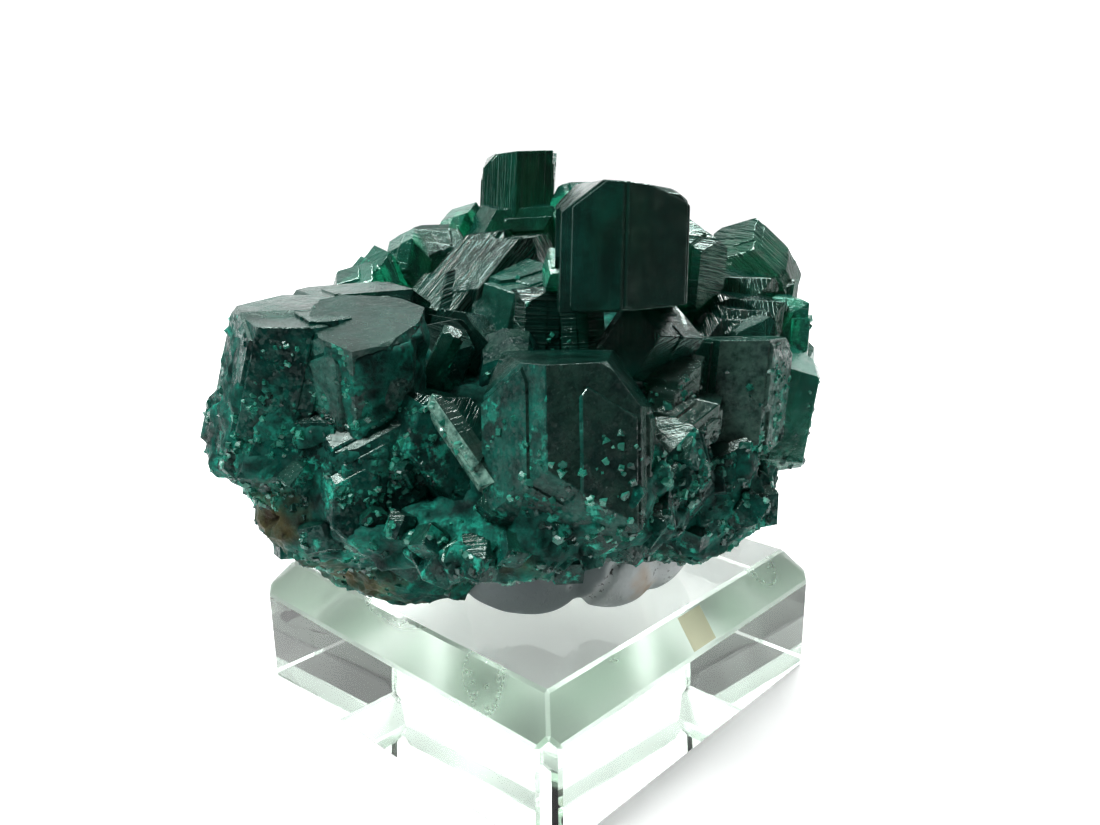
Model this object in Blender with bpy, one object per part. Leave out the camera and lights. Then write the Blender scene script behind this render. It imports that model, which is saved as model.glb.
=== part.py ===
"""A hand-sized cluster of dioptase crystals on its matrix, held by mineral tack on a clear display block.

Metres, +Z up. The origin is the centre of the block's underside. -Y is the show side, where a corner of the
block points at the viewer, so the block's diagonals lie along X and Y.
"""

import math
import random

import bmesh
import bpy
from mathutils import Matrix, Vector, noise
from mathutils.bvhtree import BVHTree

MM = 0.001

# Display block
BLOCK_SIDE = 40.0 * MM
BLOCK_HEIGHT = 12.8 * MM
BLOCK_TURN = math.radians(45)
BLOCK_CORNER_CUT = 0.9 * MM
BLOCK_BEVEL_IN = 2.35 * MM
BLOCK_BEVEL_DOWN = 3.25 * MM

# Mineral tack, pressed together from lobes: centre, half sizes in millimetres, and lean to the right in degrees
TACK_LOBES = {
    "left": ((-1.6, -6.6, 16.4), (6.4, 8.2, 5.4), 8),
    "middle": ((6.2, -5.6, 16.2), (5.2, 7.8, 5.6), 28),
    "right": ((11.0, -4.2, 16.6), (3.6, 6.2, 5.2), 20),
}
TACK_ROUGH = 0.5 * MM
TACK_GRAIN = 7.0 * MM

TOUCH_GAP = 0.3 * MM
SEAT = BLOCK_HEIGHT + TOUCH_GAP

# Small crystals grown over the rest: how many, prism radius, span of bearing, span of height angle, seed,
# and how deep they are rooted as a share of the radius
SMALL_CRYSTALS = {
    "back": (36, (2.4, 4.2), (40, 146), (-6, 38), 11, 0.3),
    "back_low": (16, (1.6, 2.8), (10, 170), (-34, -6), 7, 0.5),
    "front_druse": (36, (0.9, 2.0), (-152, -22), (-24, 4), 5, 0.75),
    "sides": (14, (1.4, 2.4), (165, 375), (-26, -4), 23, 0.5),
}
GROWTH_CENTRE = Vector((0.0, -5.0, 29.0)) * MM
FAR_OUT = 80 * MM
MOST_LEAN = 0.6
HALF_LENGTH_PER_RADIUS = (1.25, 1.6)

# Crystal habit: a six-sided prism closed by three end faces over every other prism edge
END_FACE_TILT = math.radians(51)
UNEVEN = 0.07
SHAPE_SEED = 4

# Matrix lumps: centre, half sizes, depth of the roughness, in millimetres
MATRIX_LUMPS = {
    "core": ((-0.5, -4.0, 27.5), (20.0, 14.5, 9.0), 1.3),
    "foot": ((-2.5, -3.5, 20.8), (17.0, 10.5, 7.4), 1.0),
    "heel": ((-11.8, -8.8, 19.8), (10.4, 6.4, 6.3), 0.9),
    "lip": ((-2.6, -18.6, 25.4), (14.5, 8.6, 4.8), 0.9),
    "apron": ((1.5, -20.4, 28.2), (8.0, 7.0, 5.2), 0.8),
    "left_lip": ((-15.4, -15.6, 26.6), (7.6, 7.2, 7.0), 0.9),
    "right_lip": ((11.4, -9.8, 23.6), (8.6, 7.6, 6.6), 0.9),
    "back": ((1.5, 4.0, 30.0), (18.0, 9.5, 9.5), 1.2),
    "back_crest": ((-2.0, 5.4, 36.4), (10.5, 6.4, 6.4), 1.0),
    "back_right": ((15.5, 3.0, 33.0), (8.2, 7.0, 5.4), 1.0),
}
MATRIX_GRAIN = 6.5 * MM
FINER_GRAIN = 2.3
FINER_SHARE = 0.5
LUMP_DETAIL = 3


class Crystal:
    """Centre, long axis, direction of one prism face, radius, half length, squash, and broken-off planes."""

    def __init__(self, centre, axis, face, radius, half, squash=1.0, breaks=()):
        self.centre = centre
        self.axis = axis
        self.face = face
        self.radius = radius
        self.half = half
        self.squash = squash
        self.breaks = breaks


# Lengths in millimetres; a break is the direction it faces and how far it lies from the centre
CRYSTALS = {
    "left_block": Crystal((-13.1, -18.6, 35.2), (0.05, -0.26, 0.97), (1.0, -0.1, 0.0), 4.8, 10.0, 1.0,
                          (((0.03, -0.33, 0.94), 5.8),)),
    "left_outer": Crystal((-19.6, -17.0, 35.0), (0.30, -0.12, 0.94), (-0.85, -0.5, 0.2), 5.3, 12.0, 1.0,
                          (((0.02, -0.06, 1.0), 6.3), ((-0.3, 0.1, -0.95), 7.4))),
    "left_rim": Crystal((-22.6, -15.3, 32.4), (0.2, 0.3, 0.9), (-0.7, -0.7, 0.0), 3.6, 5.2),
    "left_facet": Crystal((-18.0, -17.2, 31.2), (0.5, 0.1, 0.85), (-0.3, -0.9, -0.3), 5.2, 7.6),
    "left_wall": Crystal((-12.6, -18.4, 29.4), (0.1, 0.1, 1.0), (0.15, -1.0, 0.0), 6.0, 8.6),
    "wedge": Crystal((-7.2, -19.6, 30.0), (-0.62, -0.05, 0.78), (0.21, -0.96, 0.17), 4.2, 8.0),
    "left_slab": Crystal((-15.3, -7.8, 38.6), (1.0, 0.1, 0.05), (0.0, -0.1, 1.0), 4.0, 7.4, 0.8),
    "gem_low": Crystal((-16.3, -1.5, 39.0), (0.3, 0.2, 0.9), (-0.2, -0.9, 0.1), 3.0, 4.3),
    "gem_mid": Crystal((-14.0, 0.0, 40.7), (-0.3, 0.2, 0.9), (0.1, -0.9, 0.2), 2.4, 3.6),
    "gem_high": Crystal((-11.9, 1.6, 42.0), (0.2, 0.2, 0.9), (-0.4, -0.9, 0.1), 2.4, 3.7),
    "ridge_dark": Crystal((-9.2, 3.8, 41.2), (0.15, 0.1, 1.0), (0.1, -1.0, 0.0), 3.7, 5.8, 1.0,
                          (((0.0, 0.1, 1.0), 4.0),)),
    "ridge_back": Crystal((-10.8, 6.3, 41.2), (0.5, 0.1, 0.8), (-0.2, -0.9, 0.2), 3.3, 5.0),
    "pale": Crystal((-7.2, 7.7, 43.7), (0.4, 0.1, 0.9), (-0.6, -0.8, 0.2), 2.7, 4.1),
    "peak": Crystal((-1.5, 8.9, 47.2), (0.06, 0.12, 1.0), (-0.56, -0.83, 0.0), 4.2, 10.6, 1.0,
                    (((-0.06, 0.1, 1.0), 4.8), ((-0.745, -0.1, 0.667), 5.0), ((0.0, 0.0, -1.0), 7.0))),
    "peak_step": Crystal((-1.6, 6.6, 44.4), (1.0, 0.06, 0.04), (0.0, -0.2, 1.0), 3.2, 6.0),
    "peak_bit": Crystal((3.8, 6.2, 46.5), (0.5, 0.2, 0.8), (0.1, -0.9, 0.3), 2.4, 3.5),
    "striated": Crystal((-4.2, 0.4, 39.8), (0.58, 0.36, 0.66), (-0.30, -0.64, 0.70), 5.4, 8.6),
    "striated_low": Crystal((-9.2, -2.6, 37.6), (0.58, 0.36, 0.66), (-0.32, -0.62, 0.72), 3.8, 7.0),
    "green_step": Crystal((-1.2, -3.6, 38.8), (0.9, 0.25, 0.25), (-0.15, -0.45, 0.9), 3.8, 6.0),
    "bright_bit": Crystal((2.1, -7.4, 42.6), (0.3, -0.2, 0.9), (0.1, -0.8, 0.5), 1.7, 2.4),
    "big_top": Crystal((6.4, -12.4, 44.8), (0.04, 0.20, 0.98), (-0.50, -0.87, 0.0), 5.8, 11.4, 1.0,
                       (((0.12, 0.10, 1.0), 4.9), ((-0.63, -0.05, 0.78), 5.4), ((0.72, 0.1, 0.69), 6.1),
                        ((0.05, -0.1, -1.0), 4.6))),
    "shoulder": Crystal((13.4, -1.7, 41.8), (0.1, 0.2, 0.95), (0.7, -0.7, 0.1), 3.9, 6.6, 1.0,
                        (((0.6, 0.1, 0.8), 3.8),)),
    "far_right": Crystal((22.0, 5.6, 40.3), (-0.6, 0.35, 0.6), (0.05, -0.62, 0.78), 4.1, 6.0),
    "far_low": Crystal((22.0, 3.2, 37.4), (0.2, 0.3, 0.9), (0.5, -0.85, 0.1), 3.0, 4.7),
    "green_window": Crystal((23.3, -0.7, 35.3), (0.05, 0.1, 1.0), (0.2, -1.0, 0.0), 2.6, 4.8, 1.0,
                            (((0.1, 0.0, 1.0), 3.6),)),
    "ledge_high": Crystal((18.8, 1.6, 39.0), (1.0, 0.1, -0.05), (0.0, -0.1, 1.0), 3.6, 5.8, 0.6),
    "ledge_mid": Crystal((18.6, -1.4, 37.4), (1.0, 0.1, -0.1), (0.0, -0.1, 1.0), 3.8, 6.2, 0.6),
    "ledge_low": Crystal((17.4, -3.4, 36.0), (1.0, 0.2, -0.1), (0.0, -0.2, 1.0), 3.6, 6.2, 0.6),
    "ledge_arch": Crystal((19.0, -4.4, 34.8), (0.1, 0.5, 0.8), (0.1, -0.9, 0.3), 3.4, 4.6),
    "dull_face": Crystal((16.6, -10.4, 32.6), (0.1, 0.15, 1.0), (-0.12, -0.97, 0.2), 4.3, 10.0, 1.0,
                         (((0.0, 0.15, 1.0), 4.3), ((0.0, 0.1, -1.0), 4.6))),
    "right_lobe": Crystal((21.0, -7.0, 29.8), (0.15, 0.05, 1.0), (0.2, -0.98, 0.0), 3.9, 9.2, 1.0,
                          (((0.35, -0.2, 0.9), 4.8), ((0.3, 0.1, -0.95), 5.2))),
    "right_back": Crystal((23.6, 3.0, 30.4), (0.1, 0.3, 1.0), (0.8, -0.5, 0.0), 4.2, 6.2),
    "rhomb_upper": Crystal((10.9, -14.4, 34.2), (0.78, 0.30, 0.50), (-0.30, -0.74, 0.60), 2.4, 3.6),
    "rhomb_lower": Crystal((12.0, -15.4, 31.2), (0.78, 0.30, 0.50), (-0.30, -0.74, 0.60), 2.4, 3.6),
    "blue_black": Crystal((8.8, -13.0, 37.2), (0.1, -0.95, 0.25), (0.0, 0.25, 0.97), 3.7, 5.2),
    "column_left": Crystal((0.2, -6.6, 37.2), (0.05, 0.15, 1.0), (0.1, -1.0, 0.1), 2.6, 5.6, 1.0,
                           (((0.0, 0.1, 1.0), 3.8),)),
    "column_right": Crystal((3.6, -6.8, 37.2), (-0.05, 0.15, 1.0), (-0.2, -1.0, 0.1), 2.4, 5.2, 1.0,
                            (((0.0, 0.1, 1.0), 3.8),)),
    "hollow_upper": Crystal((-5.8, -7.6, 35.4), (0.62, 0.1, -0.75), (0.1, -0.9, 0.3), 3.2, 6.0),
    "hollow_left": Crystal((-9.0, -10.4, 34.4), (0.35, 0.1, 0.9), (0.5, -0.8, 0.2), 3.0, 5.6),
    "hollow_right": Crystal((-2.6, -10.2, 33.6), (0.2, 0.1, 0.95), (-0.3, -0.9, 0.2), 3.0, 5.4),
    "front_hex": Crystal((2.0, -22.8, 33.4), (0.0, 0.20, 0.98), (-0.70, -0.71, 0.0), 6.3, 11.0, 1.0,
                         (((0.0, 0.12, 1.0), 4.9), ((0.80, -0.05, 0.60), 5.2))),
    "front_low": Crystal((4.6, -19.6, 28.6), (0.3, 0.2, 0.9), (0.2, -0.95, -0.1), 5.0, 6.6),
    "front_right": Crystal((9.6, -16.4, 27.6), (-0.2, 0.2, 0.9), (0.3, -0.9, -0.2), 4.4, 6.0),
    "hollow_side": Crystal((16.8, -9.8, 22.8), (0.1, 0.2, 0.95), (0.1, -0.95, -0.1), 2.7, 4.6),
    "right_low": Crystal((18.8, -6.6, 25.4), (0.4, 0.1, 0.9), (0.3, -0.9, -0.2), 3.6, 5.2),
    "right_front": Crystal((14.8, -12.8, 26.4), (0.1, 0.2, 0.95), (0.0, -0.9, -0.2), 3.6, 5.0),
    "strip": Crystal((-5.4, -24.1, 31.9), (0.55, -0.42, -0.72), (-0.35, -0.85, 0.4), 1.1, 4.8),
    "hollow_bar": Crystal((-7.9, -14.6, 36.6), (0.46, -0.05, 0.89), (-0.3, -0.9, 0.2), 0.9, 3.2),
}


def clear_scene():
    for obj in list(bpy.data.objects):
        bpy.data.objects.remove(obj)


def material(name, colour, roughness, transmission=0.0, ior=1.5):
    made = bpy.data.materials.new(name)
    made.use_nodes = True
    shader = made.node_tree.nodes["Principled BSDF"]
    shader.inputs["Base Color"].default_value = (*colour, 1.0)
    shader.inputs["Roughness"].default_value = roughness
    shader.inputs["Metallic"].default_value = 0.0
    shader.inputs["Transmission Weight"].default_value = transmission
    shader.inputs["IOR"].default_value = ior
    made.diffuse_color = (*colour, 1.0)
    return made


def object_from(bm, name, finish=None, guide=False):
    mesh = bpy.data.meshes.new(name)
    bm.to_mesh(mesh)
    bm.free()
    obj = bpy.data.objects.new(name, mesh)
    bpy.context.scene.collection.objects.link(obj)
    if finish:
        mesh.materials.append(finish)
    if guide:
        obj.hide_render = True
        obj.display_type = "WIRE"
    return obj


def cut_off(bm, point, normal):
    """Removes what lies beyond the plane and closes the cut with one flat face."""
    every = bm.verts[:] + bm.edges[:] + bm.faces[:]
    made = bmesh.ops.bisect_plane(
        bm, geom=every, dist=1e-7, plane_co=point, plane_no=normal, clear_outer=True
    )
    rim = [part for part in made["geom_cut"] if isinstance(part, bmesh.types.BMEdge)]
    if rim:
        bmesh.ops.holes_fill(bm, edges=rim)


def crystal_mesh(radius, half_length, squash, uneven):
    """One dioptase crystal about its own centre, long axis along Z, with one prism face towards +X."""
    bm = bmesh.new()
    bmesh.ops.create_cube(bm, size=4.0 * max(radius, half_length))
    for side in range(6):
        out = Matrix.Rotation(math.radians(60 * side), 3, "Z") @ Vector((1, 0, 0))
        reach = radius * math.cos(math.radians(30)) * (1 + uneven.uniform(-UNEVEN, UNEVEN))
        cut_off(bm, out * reach, out)
    for end in (1, -1):
        for side in range(3):
            turn = math.radians(90 + 120 * side + (180 if end < 0 else 0))
            out = Vector((math.cos(turn) * math.sin(END_FACE_TILT), math.sin(turn) * math.sin(END_FACE_TILT),
                          end * math.cos(END_FACE_TILT)))
            tip = Vector((0, 0, end * (half_length + radius * uneven.uniform(-2 * UNEVEN, UNEVEN))))
            cut_off(bm, tip, out)
    bmesh.ops.scale(bm, vec=(squash, 1, 1), verts=bm.verts)
    return bm


def standing(axis, face):
    """The turn that brings Z to the long axis and X to the nearest direction square to it."""
    up = Vector(axis).normalized()
    out = Vector(face)
    out = (out - up * out.dot(up)).normalized()
    return Matrix((out, up.cross(out), up)).transposed()


def make_crystal(name, row, uneven):
    bm = crystal_mesh(row.radius * MM, row.half * MM, row.squash, uneven)
    place = Matrix.Translation(Vector(row.centre) * MM) @ standing(row.axis, row.face).to_4x4()
    bmesh.ops.transform(bm, matrix=place, verts=bm.verts)
    for facing, reach in row.breaks:
        out = Vector(facing).normalized()
        cut_off(bm, (Vector(row.centre) + out * reach) * MM, out)
    return object_from(bm, name, guide=True)


def rock_lump(name, centre, radii, rough, grain=MATRIX_GRAIN, lowest=SEAT, lean=0.0):
    """A rounded lump whose surface is pushed in and out by smooth noise."""
    turn = Matrix.Rotation(math.radians(lean), 3, "Y")
    bm = bmesh.new()
    bmesh.ops.create_icosphere(bm, subdivisions=LUMP_DETAIL, radius=1.0)
    for vert in bm.verts:
        place = centre + turn @ Vector(a * b for a, b in zip(vert.co, radii))
        out = turn @ Vector(a / b for a, b in zip(vert.co, radii)).normalized()
        push = noise.noise(place / grain) + FINER_SHARE * noise.noise(place * FINER_GRAIN / grain)
        vert.co = place + out * push * rough
    cut_off(bm, Vector((0, 0, lowest)), Vector((0, 0, -1)))
    return object_from(bm, name, guide=True)


def grow_small(name, surface, row):
    """Crystals rooted where lines from outside towards the growth centre first meet the surface."""
    count, radii, bearings, rises, seed, depth = row
    chance = random.Random(seed)
    grown = []
    for index in range(count):
        bearing = math.radians(bearings[0] + (bearings[1] - bearings[0]) * (index + chance.random()) / count)
        rise = math.radians(chance.uniform(*rises))
        out = Vector((math.cos(bearing) * math.cos(rise), math.sin(bearing) * math.cos(rise), math.sin(rise)))
        root, normal = surface.ray_cast(GROWTH_CENTRE + out * FAR_OUT, -out)[:2]
        radius = chance.uniform(*radii)
        lean = Vector([chance.uniform(-MOST_LEAN, MOST_LEAN) for _ in range(3)])
        turned = Vector([chance.uniform(-1, 1) for _ in range(3)])
        half = radius * chance.uniform(*HALF_LENGTH_PER_RADIUS)
        made = Crystal(root / MM - normal * radius * depth, normal + lean, turned, radius, half)
        grown.append(make_crystal(f"{name}_{index}", made, chance))
    return grown


def surface_of(objects):
    """What all these closed shapes show from outside, for finding roots on."""
    bm = bmesh.new()
    for obj in objects:
        bm.from_mesh(obj.data)
    tree = BVHTree.FromBMesh(bm)
    bm.free()
    return tree


def boolean(base, others, operation, name):
    tools = bpy.data.collections.new(name)
    for other in others:
        tools.objects.link(other)
    bpy.context.scene.collection.children.link(tools)
    join = base.modifiers.new(name, "BOOLEAN")
    join.operation = operation
    join.operand_type = "COLLECTION"
    join.collection = tools
    join.solver = "EXACT"


def islands(bm):
    """The faces of each separate closed skin, largest first."""
    left = set(bm.faces)
    found = []
    while left:
        grown, edge_of = set(), [left.pop()]
        while edge_of:
            face = edge_of.pop()
            grown.add(face)
            near = {other for edge in face.edges for other in edge.link_faces} & left
            left -= near
            edge_of += near
        found.append(grown)
    return sorted(found, key=len, reverse=True)


def keep_outer_skin(obj):
    """Applies the Booleans and drops the walls of pockets sealed between crystals, so the body is solid."""
    graph = bpy.context.evaluated_depsgraph_get()
    bm = bmesh.new()
    bm.from_object(obj, graph)
    inner = [face for island in islands(bm)[1:] for face in island]
    bmesh.ops.delete(bm, geom=inner, context="FACES")
    obj.modifiers.clear()
    bm.to_mesh(obj.data)
    bm.free()


def show_as(obj, name, finish):
    """Turns the first of several joined shapes into the finished piece."""
    obj.name = name
    obj.hide_render = False
    obj.display_type = "TEXTURED"
    obj.data.materials.append(finish)


def make_cluster(finish):
    uneven = random.Random(SHAPE_SEED)
    grown = [make_crystal("crystal_" + name, row, uneven) for name, row in CRYSTALS.items()]
    lumps = {
        name: rock_lump("matrix_" + name, Vector(centre) * MM, Vector(radii) * MM, rough * MM)
        for name, (centre, radii, rough) in MATRIX_LUMPS.items()
    }
    surface = surface_of(grown + list(lumps.values()))
    for name, row in SMALL_CRYSTALS.items():
        grown += grow_small(name, surface, row)
    cluster = lumps.pop("core")
    show_as(cluster, "dioptase_cluster", finish)
    boolean(cluster, grown + list(lumps.values()), "UNION", "grown_together")
    boolean(cluster, tack_lobes("tack_print_", TOUCH_GAP), "DIFFERENCE", "pressed_into_tack")
    keep_outer_skin(cluster)


def tack_lobes(prefix, swell):
    """The lobes of tack, larger all round by the swell."""
    lobes = []
    for name, (centre, radii, lean) in TACK_LOBES.items():
        swollen = Vector(radii) * MM + Vector((swell, swell, swell))
        middle, lowest = Vector(centre) * MM, SEAT - swell
        lobe = rock_lump(prefix + name, middle, swollen, TACK_ROUGH, TACK_GRAIN, lowest, lean)
        lobe.data.shade_smooth()
        lobes.append(lobe)
    return lobes


def make_tack(finish):
    first, *others = tack_lobes("tack_lobe_", 0.0)
    show_as(first, "mineral_tack", finish)
    boolean(first, others, "UNION", "pressed_together")


def make_block(finish):
    """A square glass slab with cut corners and a wide sloping bevel round its top."""
    bm = bmesh.new()
    bmesh.ops.create_cube(bm, size=1.0)
    bmesh.ops.scale(bm, vec=(BLOCK_SIDE, BLOCK_SIDE, BLOCK_HEIGHT), verts=bm.verts)
    bmesh.ops.translate(bm, vec=(0, 0, BLOCK_HEIGHT / 2), verts=bm.verts)
    for side in range(4):
        out = Matrix.Rotation(math.radians(45 + 90 * side), 3, "Z") @ Vector((1, 0, 0))
        cut_off(bm, out * (BLOCK_SIDE / math.sqrt(2) - BLOCK_CORNER_CUT), out)
    for side in range(4):
        out = Matrix.Rotation(math.radians(90 * side), 3, "Z") @ Vector((BLOCK_BEVEL_DOWN, 0, BLOCK_BEVEL_IN))
        low = Matrix.Rotation(math.radians(90 * side), 3, "Z") @ Vector(
            (BLOCK_SIDE / 2, 0, BLOCK_HEIGHT - BLOCK_BEVEL_DOWN))
        cut_off(bm, low, out)
    bmesh.ops.rotate(bm, matrix=Matrix.Rotation(BLOCK_TURN, 3, "Z"), verts=bm.verts)
    return object_from(bm, "display_block", finish=finish)


def main():
    clear_scene()
    make_cluster(material("dioptase", (0.0, 0.16, 0.11), 0.12, transmission=0.6, ior=1.67))
    make_tack(material("grey_tack", (0.33, 0.38, 0.42), 0.7))
    make_block(material("clear_glass", (0.9, 0.97, 0.95), 0.03, transmission=1.0, ior=1.5))


main()
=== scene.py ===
"""The looks of a hand-sized dioptase cluster, held by a lump of mineral tack on a clear display block.

It is laid out as a Blender add-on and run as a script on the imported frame. Metres, +Z up, and the block's
underside is at z = 0. -Y is the show side, where a corner of the block points at the viewer.
"""

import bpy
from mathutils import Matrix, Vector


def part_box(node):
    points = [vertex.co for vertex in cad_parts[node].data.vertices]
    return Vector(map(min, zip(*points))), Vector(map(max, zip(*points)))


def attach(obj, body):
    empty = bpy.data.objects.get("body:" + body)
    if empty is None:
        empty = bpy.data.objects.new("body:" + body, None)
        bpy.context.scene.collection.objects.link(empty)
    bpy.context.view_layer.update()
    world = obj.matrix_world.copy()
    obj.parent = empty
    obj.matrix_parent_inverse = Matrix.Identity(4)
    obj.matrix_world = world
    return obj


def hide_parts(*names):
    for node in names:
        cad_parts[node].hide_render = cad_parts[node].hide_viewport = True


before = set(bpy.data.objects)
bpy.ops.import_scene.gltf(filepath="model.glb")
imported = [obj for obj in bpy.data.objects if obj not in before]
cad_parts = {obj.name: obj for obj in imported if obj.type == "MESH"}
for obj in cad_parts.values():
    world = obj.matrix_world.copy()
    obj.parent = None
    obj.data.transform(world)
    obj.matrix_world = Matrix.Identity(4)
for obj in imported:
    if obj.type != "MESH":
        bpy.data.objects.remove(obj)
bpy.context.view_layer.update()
BLOCK_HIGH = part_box("display_block")[1]

import math
import random
from typing import NamedTuple

import bmesh
import bpy
from bpy.props import FloatProperty, FloatVectorProperty, PointerProperty
from bpy.types import Operator, Panel, PropertyGroup
from mathutils import Matrix, Vector, noise
from mathutils.bvhtree import BVHTree

bl_info = {
    "name": "Dioptase specimen",
    "version": (1, 0, 0),
    "blender": (4, 5, 0),
    "location": "3D View > Sidebar > Specimen",
    "description": "Builds a dioptase cluster, its matrix, its mineral tack and its clear display block",
    "category": "Add Mesh",
}

MM = 0.001

# Where the photograph was taken from
CAMERA_PLACE = Vector((-1.517, -88.017, 52.736)) * MM
CAMERA_TURN = (74.174, 0.579, -1.940)
CAMERA_LENS_MM = 30.78
SENSOR_WIDTH_MM = 36.0

# The photograph's contrast: below 1 deepens the dark tones
PHOTO_CONTRAST = 0.85

# Light is mirrored many times inside the clear block
LIGHT_BOUNCES = 16

# Direction of the bright side of the room
BRIGHT_SIDE = (-0.1, 0.9, 0.44)

# Soft boxes: where each stands, how wide it is, and its share of the key light's power
SOFT_BOXES = {
    "key_light": ((-0.42, -0.20, 0.66), 0.30, 1.0),
    "back_light": ((0.30, 0.42, 0.62), 0.26, 0.5),
    "top_light": ((-0.10, 0.10, 0.85), 0.22, 0.35),
}
SOFT_BOX_AIM = (0.0, -0.005, 0.03)

# White sheet that the block stands on
FLOOR_WIDTH = 560 * MM
FLOOR_FRONT = -66 * MM
FLOOR_BACK = 420 * MM

# What the camera sees behind the floor
BACKDROP_GLOW = 1.05

# Black card behind the camera, which darkens what the front faces mirror. The camera doesn't see it
CARD_BLACK = (0.01, 0.01, 0.01)
CARD_WIDTH = 360 * MM
CARD_HEIGHT = 58 * MM
CARD_BEHIND = -96 * MM

# Display block, with a film of air under it, so that its underside mirrors and refracts
AIR_UNDER_BLOCK = 0.1 * MM
BLOCK_TURN = math.radians(45)
BLOCK_CORNER_CUT = 0.9 * MM
BLOCK_BEVEL_IN = 2.35 * MM
BLOCK_BEVEL_DOWN = 3.25 * MM

# Scrap of old tape on the right bevel: its middle, and how far it reaches along the edge, outwards and down
RESIDUE_PLACE = Vector((13.74, -12.9, 11.4)) * MM
RESIDUE_REACH = Vector((1.7, 0.95, 1.8)) * MM

# Mineral tack, pressed from lobes: centre and half sizes in millimetres, and lean in degrees
TACK_LOBES = {
    "left": ((-1.6, -6.6, 16.4), (6.4, 8.2, 5.4), 8),
    "middle": ((6.2, -5.6, 16.2), (5.2, 7.8, 5.6), 28),
    "right": ((11.0, -4.2, 16.6), (3.6, 6.2, 5.2), 20),
}
TACK_ROUGH = 0.5 * MM
TACK_GRAIN = 7.0 * MM
TACK_SKIN = 0.25 * MM

# Stained and cracked places on the tack: centre and reach, in millimetres
TACK_STAINS = ((8.6, -11.6, 15.2, 1.5), (9.4, -11.0, 14.2, 1.2))
TACK_CRACKS = ((10.6, -11.0, 15.6, 1.3), (11.5, -10.5, 14.2, 1.2), (2.2, -13.3, 15.9, 0.5))

# Fold between the left lobe and the middle one, where the painted light and shade of the tack meet: it is
# painted darker left of the fold and paler right of it. x and z of two places on it, in millimetres
TACK_FOLD = ((3.0, 12.3), (6.4, 17.5))
FOLD_DEPTH = 0.35 * MM

# Small crystals grown over the rest: how many, prism radius, span of bearing, span of height angle, seed,
# and how deep they are rooted as a share of the radius
SMALL_CRYSTALS = {
    "back": (36, (2.4, 4.2), (40, 146), (-6, 38), 11, 0.3),
    "back_low": (16, (1.6, 2.8), (10, 170), (-34, -6), 7, 0.5),
    "front_druse": (36, (0.9, 2.0), (-152, -22), (-24, 4), 5, 0.75),
    "sides": (14, (1.4, 2.4), (165, 375), (-26, -4), 23, 0.5),
}
GROWTH_CENTRE = Vector((0.0, -5.0, 29.0)) * MM
FAR_OUT = 80 * MM

# Crystal habit: a six-sided prism closed by three end faces over every other prism edge
END_FACE_TILT = math.radians(51)
UNEVEN = 0.07
SHAPE_SEED = 4

# Cuts weld points closer than this. A crystal's edges are flattened by a width in millimetres
CUT_SLACK = 1e-7
EDGE_FLATS = (0.05, 0.1)

# Corners broken off a crystal: how many, and how deep
CRYSTAL_NICKS = (5, (0.08 * MM, 0.4 * MM))
STEP_NICKS = (3, (0.1 * MM, 0.3 * MM))
SMALL_NICKS = (2, (0.05 * MM, 0.2 * MM))

# Parallel crystals: their share of the crystal's size, how far they stand proud of its faces, how much
# nearer or further they are broken off, in millimetres, and how many places are tried
STEP_SHARE = (0.35, 0.8)
STEP_PROUD = (0.06 * MM, 0.3 * MM)
STEP_SLACK = (-0.4, 0.03)
STEP_TRIES = 30

# Matrix lumps: centre, half sizes, depth of the roughness, in millimetres
MATRIX_LUMPS = {
    "core": ((-0.5, -4, 27.5), (20, 14.5, 9), 1.3),
    "foot": ((-2.5, -3.5, 20.8), (17, 10.5, 7.4), 1),
    "heel": ((-11.8, -8.8, 19.8), (10.4, 6.4, 6.3), 0.9),
    "lip": ((-2.6, -18.6, 25.4), (14.5, 8.6, 4.8), 0.9),
    "apron": ((1.5, -20.4, 28.2), (8, 7, 5.2), 0.8),
    "left_lip": ((-15.4, -15.6, 26.6), (7.6, 7.2, 7), 0.9),
    "right_lip": ((11.4, -9.8, 23.6), (8.6, 7.6, 6.6), 0.9),
    "back": ((1.5, 4, 30), (18, 9.5, 9.5), 1.2),
    "back_crest": ((-2, 5.4, 36.4), (10.5, 6.4, 6.4), 1),
    "back_right": ((15.5, 3, 33), (8.2, 7, 5.4), 1),
}
MATRIX_GRAIN = 6.5 * MM

# Facets that the matrix is broken into: size and steepness
ROCK_FACETS = ((2.6 * MM, 0.55), (1.0 * MM, 0.6))

# A patch is whole within a quarter of its reach
PATCH_CORE = 1.25


class Crystal(NamedTuple):
    """Centre, long axis, facing of one prism face, prism radius, half length, broken-off planes, squash."""
    centre: tuple
    axis: tuple
    face: tuple
    radius: float
    half: float
    breaks: tuple = ()
    squash: float = 1.0


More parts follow.
